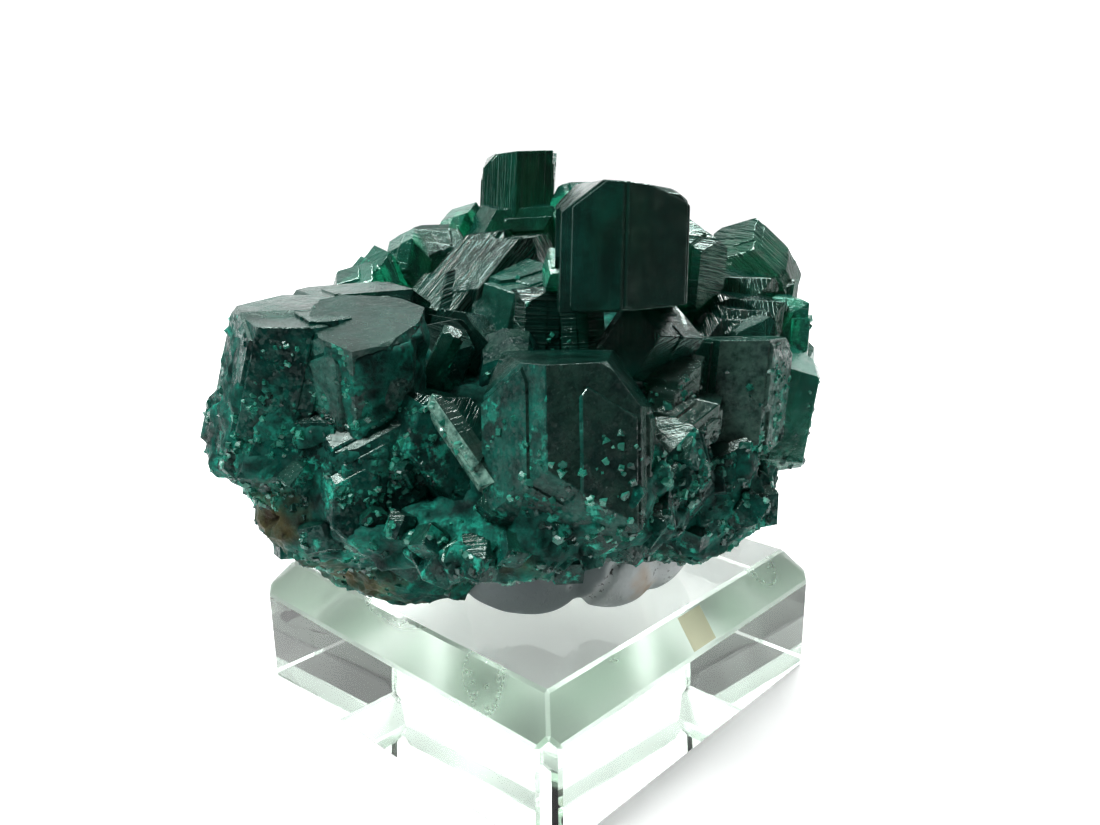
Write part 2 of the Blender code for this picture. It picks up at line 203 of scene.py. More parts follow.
# Lengths in millimetres; a broken-off plane is the direction it faces and how far it lies from the centre
CRYSTALS = {
    "left_block": ((-13.1, -18.6, 35.2), (0.05, -0.26, 0.97), (1, -0.1, 0), 4.8, 10,
        ((0.03, -0.33, 0.94, 5.8),)),
    "left_outer": ((-19.6, -17, 35), (0.30, -0.12, 0.94), (-0.85, -0.5, 0.2), 5.3, 12,
        ((0.02, -0.06, 1, 6.3), (-0.3, 0.1, -0.95, 7.4))),
    "left_rim": ((-22.6, -15.3, 32.4), (0.2, 0.3, 0.9), (-0.7, -0.7, 0), 3.6, 5.2),
    "left_facet": ((-18, -17.2, 31.2), (0.5, 0.1, 0.85), (-0.3, -0.9, -0.3), 5.2, 7.6),
    "left_wall": ((-12.6, -18.4, 29.4), (0.1, 0.1, 1), (0.15, -1, 0), 6, 8.6),
    "wedge": ((-7.2, -19.6, 30), (-0.62, -0.05, 0.78), (0.21, -0.96, 0.17), 4.2, 8),
    "left_slab": ((-15.3, -7.8, 38.6), (1, 0.1, 0.05), (0, -0.1, 1), 4, 7.4, (), 0.8),
    "gem_low": ((-16.3, -1.5, 39), (0.3, 0.2, 0.9), (-0.2, -0.9, 0.1), 3, 4.3),
    "gem_mid": ((-14, 0, 40.7), (-0.3, 0.2, 0.9), (0.1, -0.9, 0.2), 2.4, 3.6),
    "gem_high": ((-11.9, 1.6, 42), (0.2, 0.2, 0.9), (-0.4, -0.9, 0.1), 2.4, 3.7),
    "ridge_dark": ((-9.2, 3.8, 41.2), (0.15, 0.1, 1), (0.1, -1, 0), 3.7, 5.8, ((0, 0.1, 1, 4),)),
    "ridge_back": ((-10.8, 6.3, 41.2), (0.5, 0.1, 0.8), (-0.2, -0.9, 0.2), 3.3, 5),
    "pale": ((-7.2, 7.7, 43.7), (0.4, 0.1, 0.9), (-0.6, -0.8, 0.2), 2.7, 4.1),
    "peak": ((-1.5, 8.9, 47.2), (0.06, 0.12, 1), (-0.56, -0.83, 0), 4.2, 10.6,
        ((-0.06, 0.1, 1, 4.8), (-0.745, -0.1, 0.667, 5), (0, 0, -1, 7))),
    "peak_step": ((-1.6, 6.6, 44.4), (1, 0.06, 0.04), (0, -0.2, 1), 3.2, 6),
    "peak_bit": ((3.8, 6.2, 46.5), (0.5, 0.2, 0.8), (0.1, -0.9, 0.3), 2.4, 3.5),
    "striated": ((-4.2, 0.4, 39.8), (0.58, 0.36, 0.66), (-0.30, -0.64, 0.70), 5.4, 8.6),
    "striated_low": ((-9.2, -2.6, 37.6), (0.58, 0.36, 0.66), (-0.32, -0.62, 0.72), 3.8, 7),
    "green_step": ((-1.2, -3.6, 38.8), (0.9, 0.25, 0.25), (-0.15, -0.45, 0.9), 3.8, 6),
    "bright_bit": ((2.1, -7.4, 42.6), (0.3, -0.2, 0.9), (0.1, -0.8, 0.5), 1.7, 2.4),
    "big_top": ((6.4, -12.4, 44.8), (0.04, 0.20, 0.98), (-0.50, -0.87, 0), 5.8, 11.4,
        ((0.12, 0.10, 1, 4.9), (-0.63, -0.05, 0.78, 5.4), (0.72, 0.1, 0.69, 6.1), (0.05, -0.1, -1, 4.6))),
    "shoulder": ((13.4, -1.7, 41.8), (0.1, 0.2, 0.95), (0.7, -0.7, 0.1), 3.9, 6.6, ((0.6, 0.1, 0.8, 3.8),)),
    "far_right": ((22, 5.6, 40.3), (-0.6, 0.35, 0.6), (0.05, -0.62, 0.78), 4.1, 6),
    "far_low": ((22, 3.2, 37.4), (0.2, 0.3, 0.9), (0.5, -0.85, 0.1), 3, 4.7),
    "green_window": ((23.3, -0.7, 35.3), (0.05, 0.1, 1), (0.2, -1, 0), 2.6, 4.8, ((0.1, 0, 1, 3.6),)),
    "ledge_high": ((18.8, 1.6, 39), (1, 0.1, -0.05), (0, -0.1, 1), 3.6, 5.8, (), 0.6),
    "ledge_mid": ((18.6, -1.4, 37.4), (1, 0.1, -0.1), (0, -0.1, 1), 3.8, 6.2, (), 0.6),
    "ledge_low": ((17.4, -3.4, 36), (1, 0.2, -0.1), (0, -0.2, 1), 3.6, 6.2, (), 0.6),
    "ledge_arch": ((19, -4.4, 34.8), (0.1, 0.5, 0.8), (0.1, -0.9, 0.3), 3.4, 4.6),
    "dull_face": ((16.6, -10.4, 32.6), (0.1, 0.15, 1), (-0.12, -0.97, 0.2), 4.3, 10,
        ((0, 0.15, 1, 4.3), (0, 0.1, -1, 4.6))),
    "right_lobe": ((21, -7, 29.8), (0.15, 0.05, 1), (0.2, -0.98, 0), 3.9, 9.2,
        ((0.35, -0.2, 0.9, 4.8), (0.3, 0.1, -0.95, 5.2))),
    "right_back": ((23.6, 3, 30.4), (0.1, 0.3, 1), (0.8, -0.5, 0), 4.2, 6.2),
    "rhomb_upper": ((10.9, -14.4, 34.2), (0.78, 0.30, 0.50), (-0.30, -0.74, 0.60), 2.4, 3.6),
    "rhomb_lower": ((12, -15.4, 31.2), (0.78, 0.30, 0.50), (-0.30, -0.74, 0.60), 2.4, 3.6),
    "blue_black": ((8.8, -13, 37.2), (0.1, -0.95, 0.25), (0, 0.25, 0.97), 3.7, 5.2),
    "column_left": ((0.2, -6.6, 37.2), (0.05, 0.15, 1), (0.1, -1, 0.1), 2.6, 5.6, ((0, 0.1, 1, 3.8),)),
    "column_right": ((3.6, -6.8, 37.2), (-0.05, 0.15, 1), (-0.2, -1, 0.1), 2.4, 5.2, ((0, 0.1, 1, 3.8),)),
    "hollow_upper": ((-5.8, -7.6, 35.4), (0.62, 0.1, -0.75), (0.1, -0.9, 0.3), 3.2, 6),
    "hollow_left": ((-9, -10.4, 34.4), (0.35, 0.1, 0.9), (0.5, -0.8, 0.2), 3, 5.6),
    "hollow_right": ((-2.6, -10.2, 33.6), (0.2, 0.1, 0.95), (-0.3, -0.9, 0.2), 3, 5.4),
    "front_hex": ((2, -22.8, 33.4), (0, 0.20, 0.98), (-0.70, -0.71, 0), 6.3, 11,
        ((0, 0.12, 1, 4.9), (0.80, -0.05, 0.60, 5.2))),
    "front_low": ((4.6, -19.6, 28.6), (0.3, 0.2, 0.9), (0.2, -0.95, -0.1), 5, 6.6),
    "front_right": ((9.6, -16.4, 27.6), (-0.2, 0.2, 0.9), (0.3, -0.9, -0.2), 4.4, 6),
    "hollow_side": ((16.8, -9.8, 22.8), (0.1, 0.2, 0.95), (0.1, -0.95, -0.1), 2.7, 4.6),
    "right_low": ((18.8, -6.6, 25.4), (0.4, 0.1, 0.9), (0.3, -0.9, -0.2), 3.6, 5.2),
    "right_front": ((14.8, -12.8, 26.4), (0.1, 0.2, 0.95), (0, -0.9, -0.2), 3.6, 5),
    "strip": ((-5.4, -24.1, 31.9), (0.55, -0.42, -0.72), (-0.35, -0.85, 0.4), 1.1, 4.8),
    "hollow_bar": ((-7.9, -14.6, 36.6), (0.46, -0.05, 0.89), (-0.3, -0.9, 0.2), 0.9, 3.2),
}


# How crystals look: the usual level of each look, and the odd ones
LOOKS = {
    # How much light gets through, from 0, black-green, to 1, a bright window
    "clarity": (0.16, {
        "pale": 0.85, "gem_low": 0.6, "gem_mid": 0.7, "gem_high": 0.7, "peak": 0.34, "peak_step": 0.3,
        "peak_bit": 0.6, "green_step": 0.45, "bright_bit": 0.9, "big_top": 0.1, "shoulder": 0.4,
        "far_right": 0.5, "far_low": 0.5, "green_window": 0.95, "ledge_arch": 0.4, "right_lobe": 0.95,
        "right_back": 0.6, "dull_face": 0.6, "left_outer": 0.22, "left_rim": 0.3, "left_facet": 0.12,
        "left_block": 0.1, "front_hex": 0.16,
    }),
    # How dull the faces are, from 0, bright, to 1, etched
    "dullness": (0.3, {
        "left_block": 0.75, "left_outer": 0.8, "left_rim": 0.9, "left_facet": 0.9, "left_wall": 0.9,
        "dull_face": 0.8, "front_hex": 0.55, "right_lobe": 0, "pale": 0.6, "striated": 0.1, "big_top": 0.4,
        "peak": 0.1, "rhomb_upper": 0.5, "rhomb_lower": 0.5,
    }),
    # How ribbed the faces are across the crystal's length
    "ribbing": (0.12, {
        "striated": 1, "striated_low": 1, "green_step": 0.1, "peak": 0.6, "ledge_high": 0.6, "ledge_mid": 0.6,
        "ledge_low": 0.6, "right_lobe": 0, "dull_face": 0.03, "far_right": 0.8, "wedge": 0.4,
        "rhomb_upper": 0.1, "rhomb_lower": 0.1, "front_hex": 0.04, "column_left": 0.6, "column_right": 0.6,
        "shoulder": 0.4, "big_top": 0.1,
    }),
    # How much of a pale veil lies in the faces. It is partly pale inclusions and partly painted highlight and
    # reflection, strongest on the strip, the rhombs, far_right and big_top
    "veil_and_highlight": (0, {
        "strip": 1, "rhomb_upper": 1, "rhomb_lower": 1, "big_top": 0.9, "left_block": 0.1, "front_hex": 0.05,
        "far_right": 1, "pale": 0.5, "dull_face": 0.25, "peak_step": 0.15, "hollow_bar": 0.5, "striated": 0.1,
        "striated_low": 0.1, "bright_bit": 0.6,
    }),
}

# A veil, with its painted highlight, stronger than this shows all over and not in wisps alone
VEIL_AND_HIGHLIGHT_ALL_OVER = 0.6

# How pale the ribs are, and how many lie across a crystal and along it to the millimetre
RIB_PALENESS = 0.7
RIBS_TO_MM = (0.1, 0.1, 3.2)

# Spans of the small crystals' clarity, dullness and ribbing
SMALL_LOOKS = ((0.15, 0.6), (0.1, 0.7), (0, 0.5))

# Crystals ribbed along their length
RIBBED_ALONG = {"striated", "striated_low", "peak", "big_top", "far_right"}

# Turquoise clots fade out between these heights
CLOTTED_HEIGHTS = (31 * MM, 37 * MM)

# Crust on steep faces stands a little proud of the crystals, and is held back under their upper faces
CRUST_PROUD = 0.05 * MM
CRUST_HELD_BACK = 1.2 * MM

# Crystals with a skin of matrix over them
COATED = {
    "left_block", "left_outer", "left_rim", "left_facet", "left_wall", "front_low", "front_right",
    "right_low", "right_front", "hollow_side",
}

# Crystals whose steep and overhanging faces are grown over, up to this lean
CRUST_BELOW = 0.55
CRUSTED = COATED | {"wedge", "front_hex", "strip", "hollow_left", "hollow_right", "front_druse", "sides"}

# Which way some faces face: grown over on other crystals, under a thin grey crust, and alone veiled, where
# the veil is a painted reflection on that one face of big_top
GROWN_OVER_SIDES = {"dull_face": (0.35, -0.93, 0), "hollow_right": (0, -0.2, 1)}
GREY_SIDES = {
    "front_hex": (0.75, -0.65, 0), "hollow_right": (0, -0.2, 1), "dull_face": (-0.12, -0.97, 0.2),
}
VEIL_AND_HIGHLIGHT_SIDES = {"big_top": (0.5, -0.87, 0)}
FACING = 0.75

# Crusts on the matrix: centre and reach of each patch, in millimetres
TURQUOISE_PATCHES = (
    (-20.5, -21.5, 36.1, 1.2), (-20.6, -21.3, 34.2, 1.7), (-13.6, -23.4, 36.3, 1.5), (-13.2, -22.7, 33, 1.9),
    (-10.6, -22.9, 31.5, 2), (-19.7, -22.6, 29.4, 1.6), (-1.4, -27.4, 31, 1.3), (-2.2, -27.4, 29.3, 1.5),
    (10.2, -19.6, 29.8, 1.4), (14.1, -15.8, 27.8, 1.5), (10.9, -20.3, 26.7, 1.3), (8.3, -23.6, 26.8, 1.3),
    (4.5, -26.8, 27.3, 2.2), (-5, -26.5, 26.4, 2.2), (-12, -24.6, 27.6, 2), (16.3, -16, 24.5, 1.4),
)
OCHRE_PATCHES = (
    (-20.4, -20.6, 25.6, 3.2), (-18.6, -18, 21.6, 3.4), (-17.6, -13.5, 17.3, 3), (-14.5, -14.5, 16.4, 2.2),
    (-1.8, -25.4, 24.4, 1.9), (-11, -24.2, 30, 0.8),
)

# Crust of tiny crystals: how many, radius span in millimetres, bearings, height angles, seed, how bare it is
DRUSE = {
    "left_front": (1300, (0.1, 0.32), (-158, -116), (-8, 24), 31, 0.45),
    "low_front": (3000, (0.12, 0.42), (-158, -24), (-34, -2), 32, 0.25),
    "right_front": (700, (0.12, 0.4), (-40, 5), (-20, 6), 33, 0.35),
    "round_the_back": (1000, (0.15, 0.6), (0, 205), (-36, 10), 34, 0.2),
}
DRUSE_SHAPES = 10


def clamped(value):
    return min(1.0, max(0.0, value))


def any_way(chance, reach):
    """A random vector, each part of which lies within this reach of 0."""
    return Vector([chance.uniform(-reach, reach) for _ in range(3)])


def outward(bearing, rise):
    """The direction at this bearing and height angle, in degrees."""
    bearing, rise = math.radians(bearing), math.radians(rise)
    return Vector((math.cos(bearing) * math.cos(rise), math.sin(bearing) * math.cos(rise), math.sin(rise)))


def clear_of(*objects):
    """Takes finished helpers out of the scene."""
    for obj in objects:
        mesh = obj.data
        bpy.data.objects.remove(obj)
        bpy.data.meshes.remove(mesh)


def object_from(bm, name):
    mesh = bpy.data.meshes.new(name)
    bm.to_mesh(mesh)
    bm.free()
    obj = bpy.data.objects.new(name, mesh)
    bpy.context.scene.collection.objects.link(obj)
    return obj


def evaluated(obj):
    """A bmesh of the object with its modifiers applied. The object is used up."""
    bm = bmesh.new()
    bm.from_object(obj, bpy.context.evaluated_depsgraph_get())
    clear_of(obj)
    return bm


def cut_off(bm, point, normal):
    """Removes what lies beyond the plane and closes the cut with one flat face."""
    every = bm.verts[:] + bm.edges[:] + bm.faces[:]
    made = bmesh.ops.bisect_plane(bm, geom=every, dist=CUT_SLACK, plane_co=point, plane_no=normal,
                                  clear_outer=True)
    rim = [part for part in made["geom_cut"] if isinstance(part, bmesh.types.BMEdge)]
    if rim:
        bmesh.ops.holes_fill(bm, edges=rim)


def smoothed(bm, share):
    bmesh.ops.smooth_vert(bm, verts=bm.verts, factor=share, use_axis_x=True, use_axis_y=True, use_axis_z=True)


def prism_normal(side):
    return Matrix.Rotation(math.radians(60 * side), 3, "Z") @ Vector((1, 0, 0))


def end_normal(index):
    """Outward direction of one of the six end faces, three at the top and then three at the bottom."""
    end = 1 if index < 3 else -1
    turn = math.radians(90 + 120 * (index % 3) + (180 if end < 0 else 0))
    return Vector((math.cos(turn) * math.sin(END_FACE_TILT), math.sin(turn) * math.sin(END_FACE_TILT),
                   end * math.cos(END_FACE_TILT)))


class Habit(NamedTuple):
    """How far each of a crystal's six prism faces and six end faces lies from its centre."""
    sides: list
    ends: list

    @classmethod
    def grown(cls, radius, half, uneven):
        flat = radius * math.cos(math.radians(30))
        sides = [flat * (1 + uneven.uniform(-UNEVEN, UNEVEN)) for _ in range(6)]
        tips = [half + radius * uneven.uniform(-2 * UNEVEN, UNEVEN) for _ in range(6)]
        return cls(sides, [tip * math.cos(END_FACE_TILT) for tip in tips])

    def planes(self):
        for side in range(6):
            yield prism_normal(side), self.sides[side]
        for index in range(6):
            yield end_normal(index), self.ends[index]

    def solid(self):
        bm = bmesh.new()
        bmesh.ops.create_cube(bm, size=4.0 * max(self.sides + self.ends))
        for out, reach in self.planes():
            cut_off(bm, out * reach, out)
        return bm

    def parallel(self, chance):
        """A smaller crystal parallel to this one, which stands at most a little proud, and its offset."""
        width = chance.uniform(*STEP_SHARE)
        small = Habit([reach * width for reach in self.sides],
                      [reach * chance.uniform(width, 0.5 + 0.5 * width) for reach in self.ends])
        for _ in range(STEP_TRIES):
            side, index = chance.randrange(6), chance.randrange(6)
            step, rise = chance.uniform(*STEP_PROUD), chance.uniform(*STEP_PROUD)
            out, facing = prism_normal(side), end_normal(index)
            along = Vector((-out.y, out.x, 0)) * chance.uniform(-0.5, 0.5) * self.sides[side]
            across = out * (self.sides[side] + step - small.sides[side]) + along
            lift = (self.ends[index] + rise - small.ends[index] - facing.dot(across)) / facing.z
            offset = across + Vector((0, 0, lift))
            most = max(normal.dot(offset) + inner - reach
                       for (normal, reach), (_, inner) in zip(self.planes(), small.planes()))
            if most < 1.3 * STEP_PROUD[1]:
                return small, offset
        return None, None


def standing(axis, face):
    """The turn that brings Z to the long axis and X to the nearest direction square to it."""
    up = Vector(axis).normalized()
    out = Vector(face)
    out = (out - up * out.dot(up)).normalized()
    return Matrix((out, up.cross(out), up)).transposed()


def place_of(row):
    flat = Matrix.Diagonal((row.squash, 1, 1, 1))
    return Matrix.Translation(Vector(row.centre) * MM) @ standing(row.axis, row.face).to_4x4() @ flat


def nick_corners(bm, chance, number, depth):
    """Small flats broken off a few corners."""
    middle = sum((vert.co for vert in bm.verts), Vector()) / len(bm.verts)
    corners = [vert.co.copy() for vert in bm.verts]
    for corner in chance.sample(corners, min(number, len(corners))):
        out = ((corner - middle).normalized() + any_way(chance, 0.5)).normalized()
        cut_off(bm, corner - out * chance.uniform(*depth), out)


def soften_edges(bm, width):
    bmesh.ops.bevel(bm, geom=bm.edges[:], offset=width, offset_type="OFFSET", segments=1, profile=0.5,
                    affect="EDGES", material=-1, clamp_overlap=True)


def is_side(face, name, sides):
    """Whether the face is the one that the table names for this crystal."""
    return name in sides and face.normal.dot(Vector(sides[name]).normalized()) > FACING


def mark_growth(bm, name, place, levels):
    """Gives face corners their places along the crystal's own axes, in millimetres, and faces their looks."""
    growth = bm.loops.layers.float_vector.new("growth")
    *marks, veil_and_highlight, grey = [bm.faces.layers.float.new(mark) for mark in (*LOOKS, "grey")]
    back = place.inverted()
    for face in bm.faces:
        for mark, level in zip((*marks, veil_and_highlight), levels):
            face[mark] = level
        # Only the named face keeps its veil: a painted reflection on that one bright face
        if name in VEIL_AND_HIGHLIGHT_SIDES and not is_side(face, name, VEIL_AND_HIGHLIGHT_SIDES):
            face[veil_and_highlight] = 0.0
        face[grey] = float(is_side(face, name, GREY_SIDES))
        low = name in CRUSTED and face.normal.z < CRUST_BELOW
        face.material_index = int(low or is_side(face, name, GROWN_OVER_SIDES))
        for loop in face.loops:
            spot = back @ loop.vert.co / MM
            loop[growth] = spot.xzy if name in RIBBED_ALONG else spot


def crystal_solid(name, row, habit, chance, levels, nicks, offset=(0, 0, 0), slack=(0, 0)):
    """One crystal with these levels of its looks, or None where its broken-off planes leave nothing."""
    place = place_of(row)
    bm = habit.solid()
    bmesh.ops.translate(bm, vec=offset, verts=bm.verts)
    bmesh.ops.transform(bm, matrix=place, verts=bm.verts)
    for *facing, reach in row.breaks:
        out = Vector(facing).normalized()
        cut_off(bm, (Vector(row.centre) + out * (reach + chance.uniform(*slack))) * MM, out)
    if len(bm.faces) < 4:
        bm.free()
        return None
    nick_corners(bm, chance, *nicks)
    soften_edges(bm, chance.uniform(*EDGE_FLATS) * MM)
    bm.normal_update()
    mark_growth(bm, name, place, levels)
    return object_from(bm, name)


def steps(name, row, habit, chance, levels):
    """Parallel crystals that leave steps on the faces."""
    added = []
    for _ in range(2 + int(row.radius)):
        small, offset = habit.parallel(chance)
        if small:
            added.append(crystal_solid(name, row, small, chance, levels, STEP_NICKS, offset, STEP_SLACK))
    return [solid for solid in added if solid]


def grown_crystals():
    """The named crystals by name, and a list of them with the steps of parallel growth on each."""
    uneven = random.Random(SHAPE_SEED)
    chance = random.Random(SHAPE_SEED + 1)
    named, solids = {}, []
    for name, values in CRYSTALS.items():
        row = Crystal(*values)
        habit = Habit.grown(row.radius * MM, row.half * MM, uneven)
        levels = [odd.get(name, usual) for usual, odd in LOOKS.values()]
        named[name] = crystal_solid(name, row, habit, chance, levels, CRYSTAL_NICKS)
        solids += [named[name], *steps(name, row, habit, chance, levels)]
    return named, solids


def surface_of(objects):
    """What all these closed shapes show from outside, for finding roots on."""
    bm = bmesh.new()
    for obj in objects:
        bm.from_mesh(obj.data)
    tree = BVHTree.FromBMesh(bm)
    bm.free()
    return tree


def small_crystals(surface):
    """Crystals rooted where lines from outside towards the growth centre first meet the surface."""
    looks = random.Random(SHAPE_SEED + 2)
    grown = []
    for name, (count, radii, (first, last), rises, seed, depth) in SMALL_CRYSTALS.items():
        chance = random.Random(seed)
        for index in range(count):
            bearing = first + (last - first) * (index + chance.random()) / count
            out = outward(bearing, chance.uniform(*rises))
            root, normal = surface.ray_cast(GROWTH_CENTRE + out * FAR_OUT, -out)[:2]
            radius = chance.uniform(*radii)
            lean, turned = any_way(chance, 0.6), any_way(chance, 1)
            half = radius * chance.uniform(1.25, 1.6)
            row = Crystal(root / MM - normal * radius * depth, normal + lean, turned, radius, half)
            habit = Habit.grown(radius * MM, half * MM, chance)
            levels = [looks.uniform(*span) for span in SMALL_LOOKS]
            grown.append(crystal_solid(name, row, habit, looks, levels, SMALL_NICKS))
    return grown


def joined_stone(solids, finishes):
    """All the solids joined in one. They are used up."""
    for solid in solids:
        for made in finishes:
            solid.data.materials.append(made)
    *others, base = solids
    tools = bpy.data.collections.new("others")
    for other in others:
        tools.objects.link(other)
    join = base.modifiers.new("join", "BOOLEAN")
    join.operation = "UNION"
    join.operand_type = "COLLECTION"
    join.collection = tools
    join.solver = "MANIFOLD"
    bm = evaluated(base)
    bpy.data.collections.remove(tools)
    clear_of(*others)
    return bm


def add_lump(bm, centre, radii, rough, grain, detail, lean=0.0):
    """Adds a rounded lump, in millimetres, whose surface is pushed in and out by smooth noise."""
    centre, radii = Vector(centre) * MM, Vector(radii) * MM
    turn = Matrix.Rotation(math.radians(lean), 3, "Y")
    for vert in bmesh.ops.create_icosphere(bm, subdivisions=detail, radius=1.0)["verts"]:
        place = centre + turn @ Vector(a * b for a, b in zip(vert.co, radii))
        out = turn @ Vector(a / b for a, b in zip(vert.co, radii)).normalized()
        push = noise.noise(place / grain) + 0.5 * noise.noise(place * 2.3 / grain)
        vert.co = place + out * push * rough


def matrix_lumps():
    lumps = []
    for name, (centre, radii, rough) in MATRIX_LUMPS.items():
        bm = bmesh.new()
        add_lump(bm, centre, radii, rough * MM, MATRIX_GRAIN, 3)
        lumps.append(object_from(bm, "lump_" + name))
    return lumps


def near_patches(place, patches):
    """1 in the middle of the nearest patch, falling to 0 at its wandering edge."""
    wander = 0.5 * noise.noise(place / (1.4 * MM)) + 0.3 * noise.noise(place / (0.6 * MM))
    best = 0.0
    for *centre, reach in patches:
        away = (place - Vector(centre) * MM).length / (reach * MM)
        best = max(best, PATCH_CORE - away + wander)
    return clamped(best)


def turquoise_share(place):
    drift = noise.noise(place / (3.1 * MM)) + 0.6 * noise.noise(place / (1.2 * MM) + Vector((7, 3, 1)))
    return max(clamped((drift - 0.02) * 3.0) * 0.85, near_patches(place, TURQUOISE_PATCHES))


def ochre_share(place):
    drift = noise.noise(place / (4.2 * MM) + Vector((3, 9, 2))) + 0.5 * noise.noise(place / (1.5 * MM))
    low = clamped((21 * MM - place.z) / (7 * MM))
    return max(clamped((drift - 0.15 + 0.35 * low) * 2.0) * low, near_patches(place, OCHRE_PATCHES))


def mark_crusts(bm):
    turquoise, ochre = (bm.verts.layers.float.new(name) for name in ("turquoise", "ochre"))
    for vert in bm.verts:
        vert[turquoise] = turquoise_share(vert.co)
        vert[ochre] = ochre_share(vert.co)


def broken_facets(place, size, steepness):
    """Height of a surface broken into flat facets about this large, each tilted its own way."""
    here = place / size
    centre = noise.voronoi(here)[1][0]
    tilt = noise.cell_vector(centre * 7.3) - Vector((0.5, 0.5, 0.5))
    return (here - centre).dot(tilt) * steepness * size


def one_skin(bm, voxel):
    """One closed skin round everything in the bmesh."""
    whole = object_from(bm, "skin")
    skin = whole.modifiers.new("skin", "REMESH")
    skin.mode = "VOXEL"
    skin.voxel_size = voxel
    return evaluated(whole)


def rough_rock(solids, voxel):
    """One skin round all the solids, broken up into ledges, facets and grains."""
    bm = bmesh.new()
    for solid in solids:
        bm.from_mesh(solid.data)
    bm = one_skin(bm, voxel)
    bm.normal_update()
    pushed = []
    for vert in bm.verts:
        place = vert.co
        relief = sum(broken_facets(place, size, steepness) for size, steepness in ROCK_FACETS)
        grains = noise.noise(place / (0.5 * MM)) * 0.09 * MM
        upward = clamped((vert.normal.z - 0.35) / 0.3)
        pushed.append(place + vert.normal * (relief + grains + CRUST_PROUD - upward * CRUST_HELD_BACK))
    for vert, place in zip(bm.verts, pushed):
        vert.co = place
    smoothed(bm, 0.35)
    for vert in bm.verts:
        vert.co.z = max(vert.co.z, BLOCK_HIGH.z + 0.02 * MM)
    return bm


def mark_tack(bm):
    """Where the tack is stained and cracked, and where it is painted pale as if lit, from 0 to 1, and the
    dent of the fold.
    """
    stain, cracks, pale = (bm.verts.layers.float.new(name) for name in ("stain", "cracks", "pale"))
    low, high = (Vector(spot) * MM for spot in TACK_FOLD)
    rising = (high - low).normalized()
    bm.normal_update()
    for vert in bm.verts:
        spot = Vector((vert.co.x, vert.co.z)) - low
        away = spot.x * rising.y - spot.y * rising.x + noise.noise(vert.co / (1.5 * MM)) * 0.4 * MM
        torn = clamped(PATCH_CORE - abs(away) / (0.5 * MM))
        # Painted light: paler right of the fold, as if lit, and darker left of it, as if shaded
        vert[pale] = clamped(0.5 + away / (1.6 * MM))
        vert[stain] = near_patches(vert.co, TACK_STAINS)
        vert[cracks] = max(torn, near_patches(vert.co, TACK_CRACKS))
        vert.co -= vert.normal * torn * FOLD_DEPTH


def grow_druse(crust, surface, templates, count, sizes, bearings, rises, seed, bare):
    """Adds tiny crystals over one part of the surface, thick in some places and missing in others."""
    chance = random.Random(seed)
    scrap = bpy.data.meshes.new("druse_scrap")
    for _ in range(count):
        out = outward(chance.uniform(*bearings), chance.uniform(*rises))
        aim = GROWTH_CENTRE + any_way(chance, 8) * MM
        root, normal = surface.ray_cast(aim + out * FAR_OUT, -out)[:2]
        radius = chance.uniform(*sizes) * MM
        lean, turned = any_way(chance, 0.8), any_way(chance, 1)
        pick = chance.choice(templates)
        tone = chance.uniform(-0.25, 0.25)
        if root is None or normal.z > CRUST_BELOW:
            continue
        share = turquoise_share(root)
        if noise.noise(root / (2.4 * MM)) + share < bare:
            continue
        tiny = pick.copy()
        turn = Matrix.Translation(root - normal * radius * 0.6) @ standing(normal + lean, turned).to_4x4()
        bmesh.ops.transform(tiny, matrix=turn @ Matrix.Scale(radius, 4), verts=tiny.verts)
        clarity = tiny.faces.layers.float.new("clarity")
        for face in tiny.faces:
            face[clarity] = clamped((share - 0.25) * 1.2 + tone)
        tiny.to_mesh(scrap)
        tiny.free()
        crust.from_mesh(scrap)
    bpy.data.meshes.remove(scrap)


# Materials

WHITE = (1.0, 1.0, 1.0)
BLACK_SPECK = (0.03, 0.03, 0.03)
DIOPTASE_IOR = 1.67
GREEN_GLINT = (0.84, 1.0, 0.94)

# Wandering patches: how many to a metre, or to a millimetre of growth, their edge, its softness, their detail
PATCHES = {
    "stone_clouds": (330, 0.52, 0.2, 5), "stone_wisps": (0.8, 0.54, 0.12, 9),
    "stone_dulling": (0.42, 0.5, 0.22, 5), "rib_lines": (1, 0.56, 0.06, 2), "rib_ridges": (1, 0.5, 0.25, 2),
    "crust_clumps": (420, 0.5, 0.16, 5), "crust_dots": (1100, 0.62, 0.05, 5),
    "dotted_parts": (300, 0.52, 0.08, 5), "crust_clots": (480, 0.58, 0.05, 9),
    "crust_veil_and_highlight": (1500, 0.45, 0.2, 5), "crust_gloss": (900, 0.55, 0.12, 5),
    "druse_mottle": (900, 0.5, 0.2, 5), "druse_gloss": (1600, 0.5, 0.3, 5),
    "rock_clumps": (700, 0.5, 0.16, 5), "rock_mottle": (2200, 0.5, 0.2, 5),
    "rock_clots": (1000, 0.5, 0.07, 5),
    "tack_cloud": (240, 0.5, 0.25, 5), "tack_specks": (1900, 0.6, 0.04, 2), "tack_pits": (1800, 0.6, 0.1, 5),
    "glass_scuffs": (1400, 0.68, 0.1, 2), "glass_cloud": (90, 0.5, 0.3, 1),
}

# Grains and pits: how many to a metre, or to a millimetre of growth, and the share of the fine ones
GRAINS = {
    "stone": (2.6, 0.5), "crust": (900, 0.5), "druse": (2500, 0.6), "rock": (1100, 0.4),
    "fine_rock": (3200, 0.6), "tack": (700, 0.5),
}

# Tiny facets to a metre
FACETS = {"crust": (3600,), "rock": (1400,)}

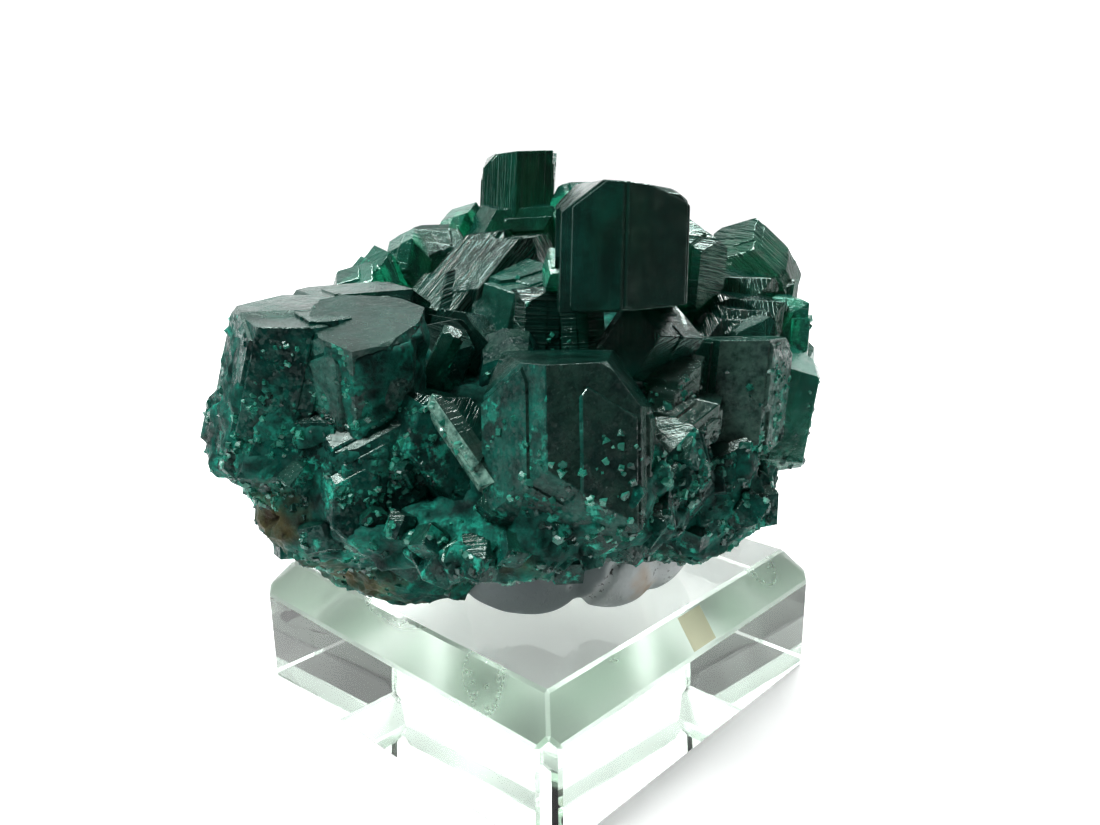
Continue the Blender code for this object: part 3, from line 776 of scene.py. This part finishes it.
# Depth in millimetres and strength of each relief
RELIEF = {
    "ridges": (0.2, 1), "hills": (0.2, 0.55), "stone_grains": (0.05, 0.8), "crust_facets": (0.16, 0.8),
    "crust_grains": (0.12, 0.6), "clots": (0.15, 0.8), "druse_grains": (0.05, 0.6),
    "rock_facets": (0.22, 0.7), "rock_grains": (0.25, 0.8), "fine_rock": (0.08, 0.8), "tack": (0.06, 0.5),
    "glass_waves": (0.1, 0.06),
}

# Roughness of each surface, from its brightest places to its dullest
ROUGHNESS = {
    "stone": (0.07, 0.42), "crust": (0.2, 0.6), "druse": (0.12, 0.5), "rock": (0.35, 0.8),
    "tack": (0.55, 0.75),
}


class Nodes:
    """A node tree in the making. Most functions add a node and give the socket that carries its result."""

    def __init__(self, tree):
        self.tree = tree

    def feed(self, socket, value):
        """Links the socket to another one, or sets it to a number, a vector or a colour."""
        if isinstance(value, bpy.types.NodeSocket):
            self.tree.links.new(value, socket)
        else:
            socket.default_value = (*value, 1.0) if socket.type == "RGBA" else value

    def dress(self, made, **named):
        """Sets a node's properties and feeds its inputs by name, with _ for a blank."""
        for key, value in named.items():
            if hasattr(made, key):
                setattr(made, key, value)
            else:
                self.feed(made.inputs[key.replace("_", " ")], value)
        return made

    def add(self, kind, *fed, **named):
        """A new node, with its first inputs fed in order."""
        made = self.dress(self.tree.nodes.new("ShaderNode" + kind), **named)
        for socket, value in zip(made.inputs, fed):
            self.feed(socket, value)
        return made

    def maths(self, operation, *values):
        return self.add("Math", *values, operation=operation).outputs[0]

    def times(self, first, second):
        return self.maths("MULTIPLY", first, second)

    def larger(self, first, second):
        return self.maths("MAXIMUM", first, second)

    def ranged(self, value, low, high):
        return self.add("MapRange", Value=value, To_Min=low, To_Max=high).outputs["Result"]

    def mixed(self, share, first, second):
        """First colour where the share is 0 and the second where it is 1."""
        made = self.add("Mix", data_type="RGBA", Factor=share)
        for socket, value in zip(made.inputs[6:8], (first, second)):
            self.feed(socket, value)
        return made.outputs[2]


def wandering_patches(group, given, out):
    """A mask from 0 to 1."""
    spots = group.add("TexNoise", Vector=given["Vector"], Scale=given["Scale"], Detail=given["Detail"],
                      Roughness=0.62).outputs["Fac"]
    low, high = (group.maths(way, given["Edge"], given["Softness"]) for way in ("SUBTRACT", "ADD"))
    ramp = group.add("MapRange", spots, low, high, interpolation_type="SMOOTHSTEP")
    group.feed(out["Mask"], ramp.outputs["Result"])


def grains_and_pits(group, given, out):
    """Grains and pits of one size and a third of it, as a height from 0 to 1."""
    large = group.add("TexVoronoi", feature="F1", Vector=given["Vector"], Scale=given["Scale"])
    finer = group.times(given["Scale"], 3.0)
    small = group.add("TexNoise", Vector=given["Vector"], Scale=finer, Detail=6.0, Roughness=0.7)
    blend = group.add("Mix", data_type="FLOAT", Factor=given["Fine share"], A=large.outputs["Distance"],
                      B=small.outputs["Fac"])
    group.feed(out["Height"], blend.outputs["Result"])


def tiny_facets(group, given, out):
    """Flat facets, each tilted its own way, as a height about 0, and a random tone for each."""
    sized = group.add("VectorMath", given["Vector"], operation="SCALE", Scale=given["Scale"]).outputs[0]
    cells = group.add("TexVoronoi", feature="F1", Vector=sized, Scale=1.0)
    inside = group.add("VectorMath", sized, cells.outputs["Position"], operation="SUBTRACT").outputs[0]
    tilt = group.add("VectorMath", cells.outputs["Color"], (0.5, 0.5, 0.5), operation="SUBTRACT").outputs[0]
    slope = group.add("VectorMath", inside, tilt, operation="DOT_PRODUCT").outputs["Value"]
    group.feed(out["Height"], slope)
    group.feed(out["Tone"], group.add("SeparateColor", cells.outputs["Color"]).outputs[0])


# Shared effects: what builds each, its inputs and what they are at first, and its outputs
SHARED = {
    "wandering patches": (wandering_patches,
                          {"Scale": 500, "Edge": 0.5, "Softness": 0.08, "Detail": 5}, ["Mask"]),
    "grains and pits": (grains_and_pits, {"Scale": 900, "Fine share": 0.4}, ["Height"]),
    "tiny facets": (tiny_facets, {"Scale": 2000}, ["Height", "Tone"]),
}


def shared_group(name):
    """The node group of a shared effect, built once."""
    if name in bpy.data.node_groups:
        return bpy.data.node_groups[name]
    build, inputs, outputs = SHARED[name]
    group = bpy.data.node_groups.new(name, "ShaderNodeTree")
    new_socket = group.interface.new_socket
    new_socket("Vector", in_out="INPUT", socket_type="NodeSocketVector")
    for socket, value in inputs.items():
        new_socket(socket, in_out="INPUT", socket_type="NodeSocketFloat").default_value = value
    for socket in outputs:
        new_socket(socket, in_out="OUTPUT", socket_type="NodeSocketFloat")
    start, end = group.nodes.new("NodeGroupInput"), group.nodes.new("NodeGroupOutput")
    build(Nodes(group), start.outputs, end.inputs)
    return group


class Finish(Nodes):
    """A material in the making, with the settings of its shader by name."""

    def __init__(self, name, **plain):
        self.material = bpy.data.materials.new(name)
        self.material.use_nodes = True
        super().__init__(self.material.node_tree)
        self.shader = self.dress(self.tree.nodes["Principled BSDF"], **plain)
        self.height_so_far = None

    def place(self):
        return self.add("TexCoord").outputs["Object"]

    def attribute(self, name, kind="Fac"):
        return self.add("Attribute", attribute_name=name).outputs[kind]

    def laid(self, effect, values, over):
        """Places a shared effect with its own values, over the object's coordinates or others."""
        return self.add("Group", over or self.place(), *values, node_tree=shared_group(effect)).outputs

    def patches(self, name, over=None):
        return self.laid("wandering patches", PATCHES[name], over)["Mask"]

    def grains(self, name, over=None):
        return self.laid("grains and pits", GRAINS[name], over)["Height"]

    def facets(self, name):
        return self.laid("tiny facets", FACETS[name], None)

    def coloured(self, colour):
        self.dress(self.shader, Base_Color=colour)

    def roughened(self, share, surface):
        self.dress(self.shader, Roughness=self.ranged(share, *ROUGHNESS[surface]))

    def raised(self, height, relief):
        """Lays a relief over those before it."""
        depth, strength = RELIEF[relief]
        bump = self.add("Bump", Height=height, Distance=depth * MM, Strength=strength)
        if self.height_so_far:
            self.dress(bump, Normal=self.height_so_far)
        self.height_so_far = bump.outputs["Normal"]
        self.dress(self.shader, Normal=self.height_so_far)

    def absorbing(self, colour, density):
        inside = self.add("VolumeAbsorption", Color=colour, Density=density)
        self.feed(self.tree.nodes["Material Output"].inputs["Volume"], inside.outputs["Volume"])


def dioptase_finish(settings):
    """See-through stone. Growth is the place along a crystal's own axes, in millimetres."""
    made = Finish("dioptase", Transmission_Weight=0.82, IOR=DIOPTASE_IOR, Specular_Tint=GREEN_GLINT)
    growth = made.attribute("growth", "Vector")
    clarity, dullness, ribbing, veil_and_highlight = map(made.attribute, ("clarity", "dullness", "ribbing", "veil_and_highlight"))
    clouds = made.patches("stone_clouds")
    dark = made.mixed(clouds, settings.dark_colour, settings.mid_colour)
    brighter = made.maths("ADD", clouds, made.times(clarity, 0.5))
    window = made.mixed(brighter, settings.mid_colour, settings.bright_colour)
    stone = made.mixed(clarity, dark, window)
    # The veil lays a pale colour over the faces: pale inclusions in wisps, and a painted highlight and
    # reflection where it is strong, on the strip, the rhombs, far_right and one face of big_top
    wisps = made.times(made.patches("stone_wisps", growth), veil_and_highlight)
    veiled_and_highlit = made.larger(wisps, made.maths("SUBTRACT", veil_and_highlight, VEIL_AND_HIGHLIGHT_ALL_OVER))
    across = made.add("Mapping", Vector=growth, Scale=RIBS_TO_MM).outputs["Vector"]
    ribs = made.times(made.patches("rib_lines", across), ribbing)
    pale = made.larger(veiled_and_highlit, made.times(ribs, RIB_PALENESS))
    made.coloured(made.mixed(pale, stone, settings.veil_and_highlight_colour))
    made.roughened(made.times(made.patches("stone_dulling", growth), dullness), "stone")
    made.raised(made.times(made.patches("rib_ridges", across), ribbing), "ridges")
    hills = made.add("TexNoise", Vector=growth, Scale=0.8, Detail=6.0, Roughness=0.6).outputs["Fac"]
    made.raised(made.times(hills, made.maths("SUBTRACT", 1.0, ribbing)), "hills")
    made.raised(made.times(made.grains("stone", growth), dullness), "stone_grains")
    made.absorbing(settings.absorbed_colour, settings.absorbed_density)
    return made.material


def turquoise_clots(made):
    """Clots on the grown-over faces, which fade out towards the top."""
    height = made.add("SeparateXYZ", made.place()).outputs["Z"]
    low, high = CLOTTED_HEIGHTS
    share = made.add("MapRange", Value=height, From_Min=low, From_Max=high, To_Min=1.0, To_Max=0.0)
    return made.times(made.patches("crust_clots"), share.outputs["Result"])


def crusted_stone_finish(settings):
    """Crystal faces that are grown over: dull teal with turquoise clots and tiny glinting facets."""
    made = Finish("crusted_stone", IOR=1.6, Specular_IOR_Level=0.24, Specular_Tint=GREEN_GLINT)
    grey = made.attribute("grey")
    clumps = made.patches("crust_clumps")
    teal = made.mixed(clumps, settings.crust_colour, settings.teal_colour)
    dusty = made.mixed(clumps, settings.crust_colour, settings.dusty_colour)
    dots = made.times(made.patches("crust_dots"), made.ranged(made.patches("dotted_parts"), 0.05, 1.0))
    clots = turquoise_clots(made)
    spotted = made.times(made.larger(dots, clots), made.maths("SUBTRACT", 1.0, grey))
    green = made.mixed(spotted, made.mixed(grey, teal, dusty), settings.turquoise_colour)
    facets = made.facets("crust")
    toned = made.mixed(made.times(facets["Tone"], 0.3), green, settings.crust_colour)
    # The veil here is a painted highlight: the pale colour of the strip's glinting edge
    veiled_and_highlit = made.times(made.patches("crust_veil_and_highlight"), made.attribute("veil_and_highlight"))
    made.coloured(made.mixed(veiled_and_highlit, toned, settings.veil_and_highlight_colour))
    made.roughened(made.patches("crust_gloss"), "crust")
    made.raised(facets["Height"], "crust_facets")
    made.raised(made.grains("crust"), "crust_grains")
    made.raised(clots, "clots")
    return made.material


def druse_finish(settings):
    """Tiny crystals, clearer and brighter where the turquoise crust is."""
    made = Finish("tiny_dioptase", Transmission_Weight=0.55, IOR=DIOPTASE_IOR)
    mottle = made.patches("druse_mottle")
    dark = made.mixed(mottle, settings.dark_colour, settings.mid_colour)
    light = made.mixed(mottle, settings.turquoise_colour, settings.bright_colour)
    made.coloured(made.mixed(made.attribute("clarity"), dark, light))
    made.roughened(made.patches("druse_gloss"), "druse")
    made.raised(made.grains("druse"), "druse_grains")
    made.absorbing(settings.absorbed_colour, settings.absorbed_density * 1.5)
    return made.material


def matrix_finish(settings):
    """Rough rock with turquoise crusts and rust."""
    made = Finish("crusted_matrix", Specular_IOR_Level=0.22, Specular_Tint=GREEN_GLINT)
    clumps, mottle = made.patches("rock_clumps"), made.patches("rock_mottle")
    dark = made.mixed(clumps, settings.crust_colour, settings.teal_colour)
    bright = made.mixed(mottle, settings.teal_colour, settings.turquoise_colour)
    turquoise = made.times(made.attribute("turquoise"), made.ranged(made.patches("rock_clots"), 0.3, 1.0))
    rust = made.mixed(clumps, settings.ochre_colour, settings.brown_colour)
    rusty = made.times(made.attribute("ochre"), made.ranged(clumps, 0.4, 1.0))
    made.coloured(made.mixed(rusty, made.mixed(turquoise, dark, bright), rust))
    made.roughened(mottle, "rock")
    made.raised(made.facets("rock")["Height"], "rock_facets")
    made.raised(made.grains("rock"), "rock_grains")
    made.raised(made.grains("fine_rock"), "fine_rock")
    return made.material


def tack_finish(settings):
    """Matt grey putty with a tan stain, dark specks where it is cracked, and paler paint right of the fold as
    if lit.
    """
    made = Finish("grey_tack")
    cracks, cloud = made.attribute("cracks"), made.patches("tack_cloud")
    # Painted light: the side right of the fold is mixed towards the paler grey, which the cracks share
    lit_side_share = made.times(made.attribute("pale"), made.ranged(cloud, 0.6, 1.0))
    grey = made.mixed(lit_side_share, settings.colour, settings.lit_side_and_crack_colour)
    tanned = made.mixed(made.times(made.attribute("stain"), 0.75), grey, settings.stain_colour)
    torn = made.mixed(cracks, tanned, settings.lit_side_and_crack_colour)
    made.coloured(made.mixed(made.times(made.patches("tack_specks"), cracks), torn, BLACK_SPECK))
    made.roughened(cloud, "tack")
    made.raised(made.grains("tack"), "tack")
    made.raised(made.patches("tack_pits"), "tack")
    return made.material


def tape_residue(made):
    """A four-cornered scrap of old tape on the right bevel: 1 on it and 0 elsewhere."""
    local = made.add("Mapping", vector_type="TEXTURE", Vector=made.place(), Location=RESIDUE_PLACE,
                     Rotation=(0, 0, BLOCK_TURN), Scale=RESIDUE_REACH).outputs["Vector"]
    x, y, z = (made.maths("ABSOLUTE", socket) for socket in made.add("SeparateXYZ", local).outputs)
    return made.maths("LESS_THAN", made.larger(x, made.larger(y, z)), 1.0)


def glass_finish(settings):
    """Clear glass with rubbed bevels, light scuffs and a scrap of old tape."""
    made = Finish("clear_glass", Transmission_Weight=1.0, IOR=1.5)
    residue = tape_residue(made)
    made.coloured(made.mixed(residue, WHITE, settings.residue_colour))
    rubbed = made.times(made.attribute("worn"), made.ranged(made.patches("glass_cloud"), 0.22, 0.36))
    dulled = made.maths("ADD", rubbed, made.times(made.patches("glass_scuffs"), 0.06))
    made.dress(made.shader, Roughness=made.larger(dulled, made.times(residue, 0.5)))
    waves = made.add("TexNoise", Vector=made.place(), Scale=140.0, Detail=2.0).outputs["Fac"]
    made.raised(waves, "glass_waves")
    made.absorbing(settings.tint, settings.tint_density)
    return made.material


# Settings, operators and panel

def colour(name, description, default):
    return FloatVectorProperty(name=name, description=description, subtype="COLOR", size=3, min=0.0, max=1.0,
                               default=default)


def level(name, description, default):
    return FloatProperty(name=name, description=description, min=0.0, default=default)


def length(name, description, least, default):
    return FloatProperty(name=name, description=description, unit="LENGTH", min=least, default=default)


class StoneSettings(PropertyGroup):
    dark_colour: colour("Dark stone", "Tint of light through the darkest crystals", (0.006, 0.085, 0.062))
    mid_colour: colour("Green stone", "Tint of light through most crystals", (0.012, 0.215, 0.17))
    bright_colour: colour("Bright stone", "Tint of light through thin clear crystals", (0.13, 0.95, 0.68))
    # Pale inclusions, and also a painted highlight and reflection on the faces with the strongest veil
    veil_and_highlight_colour: colour("Veil", "Pale inclusions close under the faces", (0.27, 0.46, 0.385))
    absorbed_colour: colour("Absorption colour", "What the stone lets through", (0.02, 0.65, 0.53))
    absorbed_density: level("Absorption density", "How strongly the stone absorbs, per metre", 900.0)
    teal_colour: colour("Teal crust", "Commonest colour of grown-over faces", (0.006, 0.13, 0.10))
    crust_colour: colour("Dark crust", "Darkest parts of the matrix", (0.006, 0.03, 0.027))
    dusty_colour: colour("Grey crust", "Thin grey crust on clean faces", (0.026, 0.08, 0.06))
    turquoise_colour: colour("Turquoise crust", "Pale green crust on the matrix", (0.035, 0.50, 0.37))
    ochre_colour: colour("Ochre", "Iron stain at the lower rim", (0.20, 0.13, 0.03))
    brown_colour: colour("Brown", "Darker iron stain", (0.05, 0.035, 0.018))
    voxel: length("Rock detail", "Grid of the matrix skin", 0.2 * MM, 0.45 * MM)


class TackSettings(PropertyGroup):
    colour: colour("Tack", "Grey of the mineral tack", (0.29, 0.33, 0.34))
    # Paler grey of the cracks, and of the side right of the fold, where it is painted light
    lit_side_and_crack_colour: colour("Light tack", "Paler places on the tack", (0.68, 0.71, 0.71))
    stain_colour: colour("Stain", "Tan stain on the tack", (0.55, 0.41, 0.29))


class BlockSettings(PropertyGroup):
    edge_round: length("Edge rounding", "Width of the polished edges", 0.0, 0.22 * MM)
    residue_colour: colour("Tape residue", "Tan scrap of tape on the right bevel", (0.62, 0.50, 0.33))
    tint: colour("Glass tint", "What the glass lets through", (0.82, 0.97, 0.86))
    tint_density: level("Tint density", "How strongly the glass absorbs, per metre", 13.0)


class StudioSettings(PropertyGroup):
    floor_colour: colour("Floor", "Pale floor", (0.93, 0.93, 0.93))
    floor_glow: level("Floor glow", "Light from under the pale floor", 0.3)
    sky_strength: level("Room light", "Brightness of the bright side of the room", 1.4)
    dark_strength: level("Dark side", "Brightness behind the camera", 0.09)
    key_power: level("Key light", "Power of the soft box, in watts", 6.2)


def finished_piece(name, bm, finishes, node_name, smooth=False):
    """A piece of the specimen, which rides on its one body and may stand for a CAD node."""
    piece = object_from(bm, name)
    if smooth:
        piece.data.shade_smooth()
    for made in finishes:
        piece.data.materials.append(made)
    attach(piece, "root")
    if node_name:
        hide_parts(node_name)


class SPECIMEN_OT_crystals(Operator):
    """Grows the dioptase crystals with their steps and broken corners, joined in one body of stone"""
    bl_idname = "specimen.crystals"
    bl_label = "Crystals"

    def execute(self, context):
        settings = context.scene.stone_settings
        finishes = (dioptase_finish(settings), crusted_stone_finish(settings))
        named, solids = grown_crystals()
        lumps = matrix_lumps()
        solids += small_crystals(surface_of([*named.values(), *lumps]))
        clear_of(*lumps)
        stone = joined_stone(solids, finishes)
        finished_piece("dioptase_crystals", stone, finishes, "dioptase_cluster")
        return {"FINISHED"}


class SPECIMEN_OT_matrix(Operator):
    """Breaks up the matrix, and the stone grown over the crystals, into one rough skin"""
    bl_idname = "specimen.matrix"
    bl_label = "Matrix"

    def execute(self, context):
        settings = context.scene.stone_settings
        named, solids = grown_crystals()
        lumps = matrix_lumps()
        bm = rough_rock(lumps + [solid for name, solid in named.items() if name in COATED], settings.voxel)
        mark_crusts(bm)
        clear_of(*lumps, *solids)
        finished_piece("matrix_rock", bm, [matrix_finish(settings)], None, smooth=True)
        return {"FINISHED"}


class SPECIMEN_OT_druse(Operator):
    """Strews tiny crystals over the crystals and the matrix, so it runs after them"""
    bl_idname = "specimen.druse"
    bl_label = "Druse"

    def execute(self, context):
        surface = surface_of([bpy.data.objects["dioptase_crystals"], bpy.data.objects["matrix_rock"]])
        chance = random.Random(SHAPE_SEED + 3)
        templates = [Habit.grown(1.0, chance.uniform(1.1, 1.6), chance).solid() for _ in range(DRUSE_SHAPES)]
        bm = bmesh.new()
        for patch in DRUSE.values():
            grow_druse(bm, surface, templates, *patch)
        for shape in templates:
            shape.free()
        finished_piece("druse", bm, [druse_finish(context.scene.stone_settings)], None)
        return {"FINISHED"}


class SPECIMEN_OT_tack(Operator):
    """Presses the lump of mineral tack between the specimen and the block"""
    bl_idname = "specimen.tack"
    bl_label = "Mineral tack"

    def execute(self, context):
        bm = bmesh.new()
        for centre, radii, lean in TACK_LOBES.values():
            add_lump(bm, centre, radii, TACK_ROUGH, TACK_GRAIN, 5, lean)
        bm = one_skin(bm, TACK_SKIN)
        smoothed(bm, 0.5)
        cut_off(bm, Vector((0, 0, BLOCK_HIGH.z)), Vector((0, 0, -1)))
        mark_tack(bm)
        finishes = [tack_finish(context.scene.tack_settings)]
        finished_piece("mineral_tack_lump", bm, finishes, "mineral_tack", smooth=True)
        return {"FINISHED"}


class SPECIMEN_OT_block(Operator):
    """Cuts and polishes the clear display block"""
    bl_idname = "specimen.block"
    bl_label = "Display block"

    def execute(self, context):
        settings = context.scene.block_settings
        side = (BLOCK_HIGH.x + BLOCK_CORNER_CUT) * math.sqrt(2)
        height = BLOCK_HIGH.z
        bm = bmesh.new()
        bmesh.ops.create_cube(bm, size=1.0)
        bmesh.ops.scale(bm, vec=(side, side, height), verts=bm.verts)
        bmesh.ops.translate(bm, vec=(0, 0, height / 2), verts=bm.verts)
        for turn in range(4):
            out = Matrix.Rotation(math.radians(45 + 90 * turn), 3, "Z") @ Vector((1, 0, 0))
            cut_off(bm, out * (side / math.sqrt(2) - BLOCK_CORNER_CUT), out)
        for turn in range(4):
            spin = Matrix.Rotation(math.radians(90 * turn), 3, "Z")
            low = spin @ Vector((side / 2, 0, height - BLOCK_BEVEL_DOWN))
            cut_off(bm, low, spin @ Vector((BLOCK_BEVEL_DOWN, 0, BLOCK_BEVEL_IN)))
        bmesh.ops.rotate(bm, matrix=Matrix.Rotation(BLOCK_TURN, 3, "Z"), verts=bm.verts)
        soften_edges(bm, settings.edge_round)
        worn = bm.faces.layers.float.new("worn")
        bm.normal_update()
        for face in bm.faces:
            face[worn] = float(0.2 < face.normal.z < 0.95)
        finished_piece("display_block_glass", bm, [glass_finish(settings)], "display_block")
        return {"FINISHED"}


def stage_sheet(name, size, middle, turn, **looks):
    """A matt sheet that isn't part of the specimen."""
    bm = bmesh.new()
    bmesh.ops.create_grid(bm, x_segments=1, y_segments=1, size=0.5)
    bmesh.ops.scale(bm, vec=(*size, 1), verts=bm.verts)
    bmesh.ops.rotate(bm, matrix=Matrix.Rotation(math.radians(turn), 3, "X"), verts=bm.verts)
    bmesh.ops.translate(bm, vec=middle, verts=bm.verts)
    sheet = object_from(bm, name)
    sheet.data.materials.append(Finish(name, Roughness=0.9, **looks).material)
    return sheet


def room_light(scene, settings):
    """A room that is bright above and behind the specimen and darker behind the camera, which sees white."""
    scene.world = bpy.data.worlds.new("room")
    scene.world.use_nodes = True
    room = Nodes(scene.world.node_tree)
    way = room.add("TexCoord").outputs["Generated"]
    lean = room.add("VectorMath", way, Vector(BRIGHT_SIDE).normalized(), operation="DOT_PRODUCT")
    strength = room.add("MapRange", lean.outputs["Value"], 0.0, 0.9, settings.dark_strength,
                        settings.sky_strength, interpolation_type="SMOOTHSTEP")
    lit = room.dress(room.tree.nodes["Background"], Color=WHITE, Strength=strength.outputs["Result"])
    seen = room.add("Background", Color=WHITE, Strength=BACKDROP_GLOW)
    from_camera = room.add("LightPath").outputs["Is Camera Ray"]
    both = room.add("MixShader", from_camera, lit.outputs["Background"], seen.outputs["Background"])
    room.feed(room.tree.nodes["World Output"].inputs["Surface"], both.outputs["Shader"])


def soft_box(scene, name, place, side, power):
    lamp = bpy.data.lights.new(name, "AREA")
    lamp.shape = "SQUARE"
    lamp.size = side
    lamp.energy = power
    box = bpy.data.objects.new(name, lamp)
    box.location = place
    box.rotation_euler = (Vector(SOFT_BOX_AIM) - Vector(place)).to_track_quat("-Z", "Y").to_euler()
    scene.collection.objects.link(box)


def photographer(scene):
    """The camera, where the photograph was taken from."""
    camera = bpy.data.cameras.new("camera")
    camera.sensor_fit = "HORIZONTAL"
    camera.sensor_width = SENSOR_WIDTH_MM
    camera.lens = CAMERA_LENS_MM
    camera.clip_start = 1 * MM
    eye = bpy.data.objects.new("camera", camera)
    eye.location = CAMERA_PLACE
    eye.rotation_euler = [math.radians(turn) for turn in CAMERA_TURN]
    scene.collection.objects.link(eye)
    scene.camera = eye


class SPECIMEN_OT_studio(Operator):
    """Sets the pale floor, the soft light and the camera"""
    bl_idname = "specimen.studio"
    bl_label = "Studio"

    def execute(self, context):
        scene, settings = context.scene, context.scene.studio_settings
        middle = (0, (FLOOR_BACK + FLOOR_FRONT) / 2, -AIR_UNDER_BLOCK)
        stage_sheet("floor", (FLOOR_WIDTH, FLOOR_BACK - FLOOR_FRONT), middle, 0,
                    Base_Color=settings.floor_colour, Emission_Color=WHITE,
                    Emission_Strength=settings.floor_glow)
        card = stage_sheet("dark_card", (CARD_WIDTH, CARD_HEIGHT), (0, CARD_BEHIND, CARD_HEIGHT / 2), 90,
                           Base_Color=CARD_BLACK)
        card.visible_camera = False
        room_light(scene, settings)
        for name, (place, side, share) in SOFT_BOXES.items():
            soft_box(scene, name, place, side, settings.key_power * share)
        photographer(scene)
        scene.view_settings.view_transform = "Standard"
        scene.view_settings.gamma = PHOTO_CONTRAST
        scene.cycles.max_bounces = LIGHT_BOUNCES
        scene.cycles.glossy_bounces = LIGHT_BOUNCES
        scene.cycles.transmission_bounces = LIGHT_BOUNCES
        return {"FINISHED"}


class SPECIMEN_PT_panel(Panel):
    """The steps of the making in their order, each group of them with its settings"""
    bl_idname = "SPECIMEN_PT_panel"
    bl_label = "Dioptase specimen"
    bl_space_type = "VIEW_3D"
    bl_region_type = "UI"
    bl_category = "Specimen"

    def draw(self, context):
        for group, (_, operators) in STEPS.items():
            box = self.layout.box()
            for made in operators:
                box.operator(made.bl_idname)
            settings = getattr(context.scene, group)
            for name in settings.bl_rna.properties.keys():
                if name not in ("name", "rna_type"):
                    box.prop(settings, name)


# The groups of settings, each with the operators that use it
STEPS = {
    "stone_settings": (StoneSettings, (SPECIMEN_OT_crystals, SPECIMEN_OT_matrix, SPECIMEN_OT_druse)),
    "tack_settings": (TackSettings, (SPECIMEN_OT_tack,)),
    "block_settings": (BlockSettings, (SPECIMEN_OT_block,)),
    "studio_settings": (StudioSettings, (SPECIMEN_OT_studio,)),
}
CLASSES = [made for settings, operators in STEPS.values() for made in (settings, *operators)]
CLASSES.append(SPECIMEN_PT_panel)


def register():
    for made in CLASSES:
        bpy.utils.register_class(made)
    for name, (settings, _) in STEPS.items():
        setattr(bpy.types.Scene, name, PointerProperty(type=settings))


def unregister():
    for name in STEPS:
        delattr(bpy.types.Scene, name)
    for made in reversed(CLASSES):
        bpy.utils.unregister_class(made)


def main():
    register()
    bpy.ops.specimen.crystals()
    bpy.ops.specimen.matrix()
    bpy.ops.specimen.druse()
    bpy.ops.specimen.tack()
    bpy.ops.specimen.block()
    bpy.ops.specimen.studio()


if __name__ == "__main__":
    main()
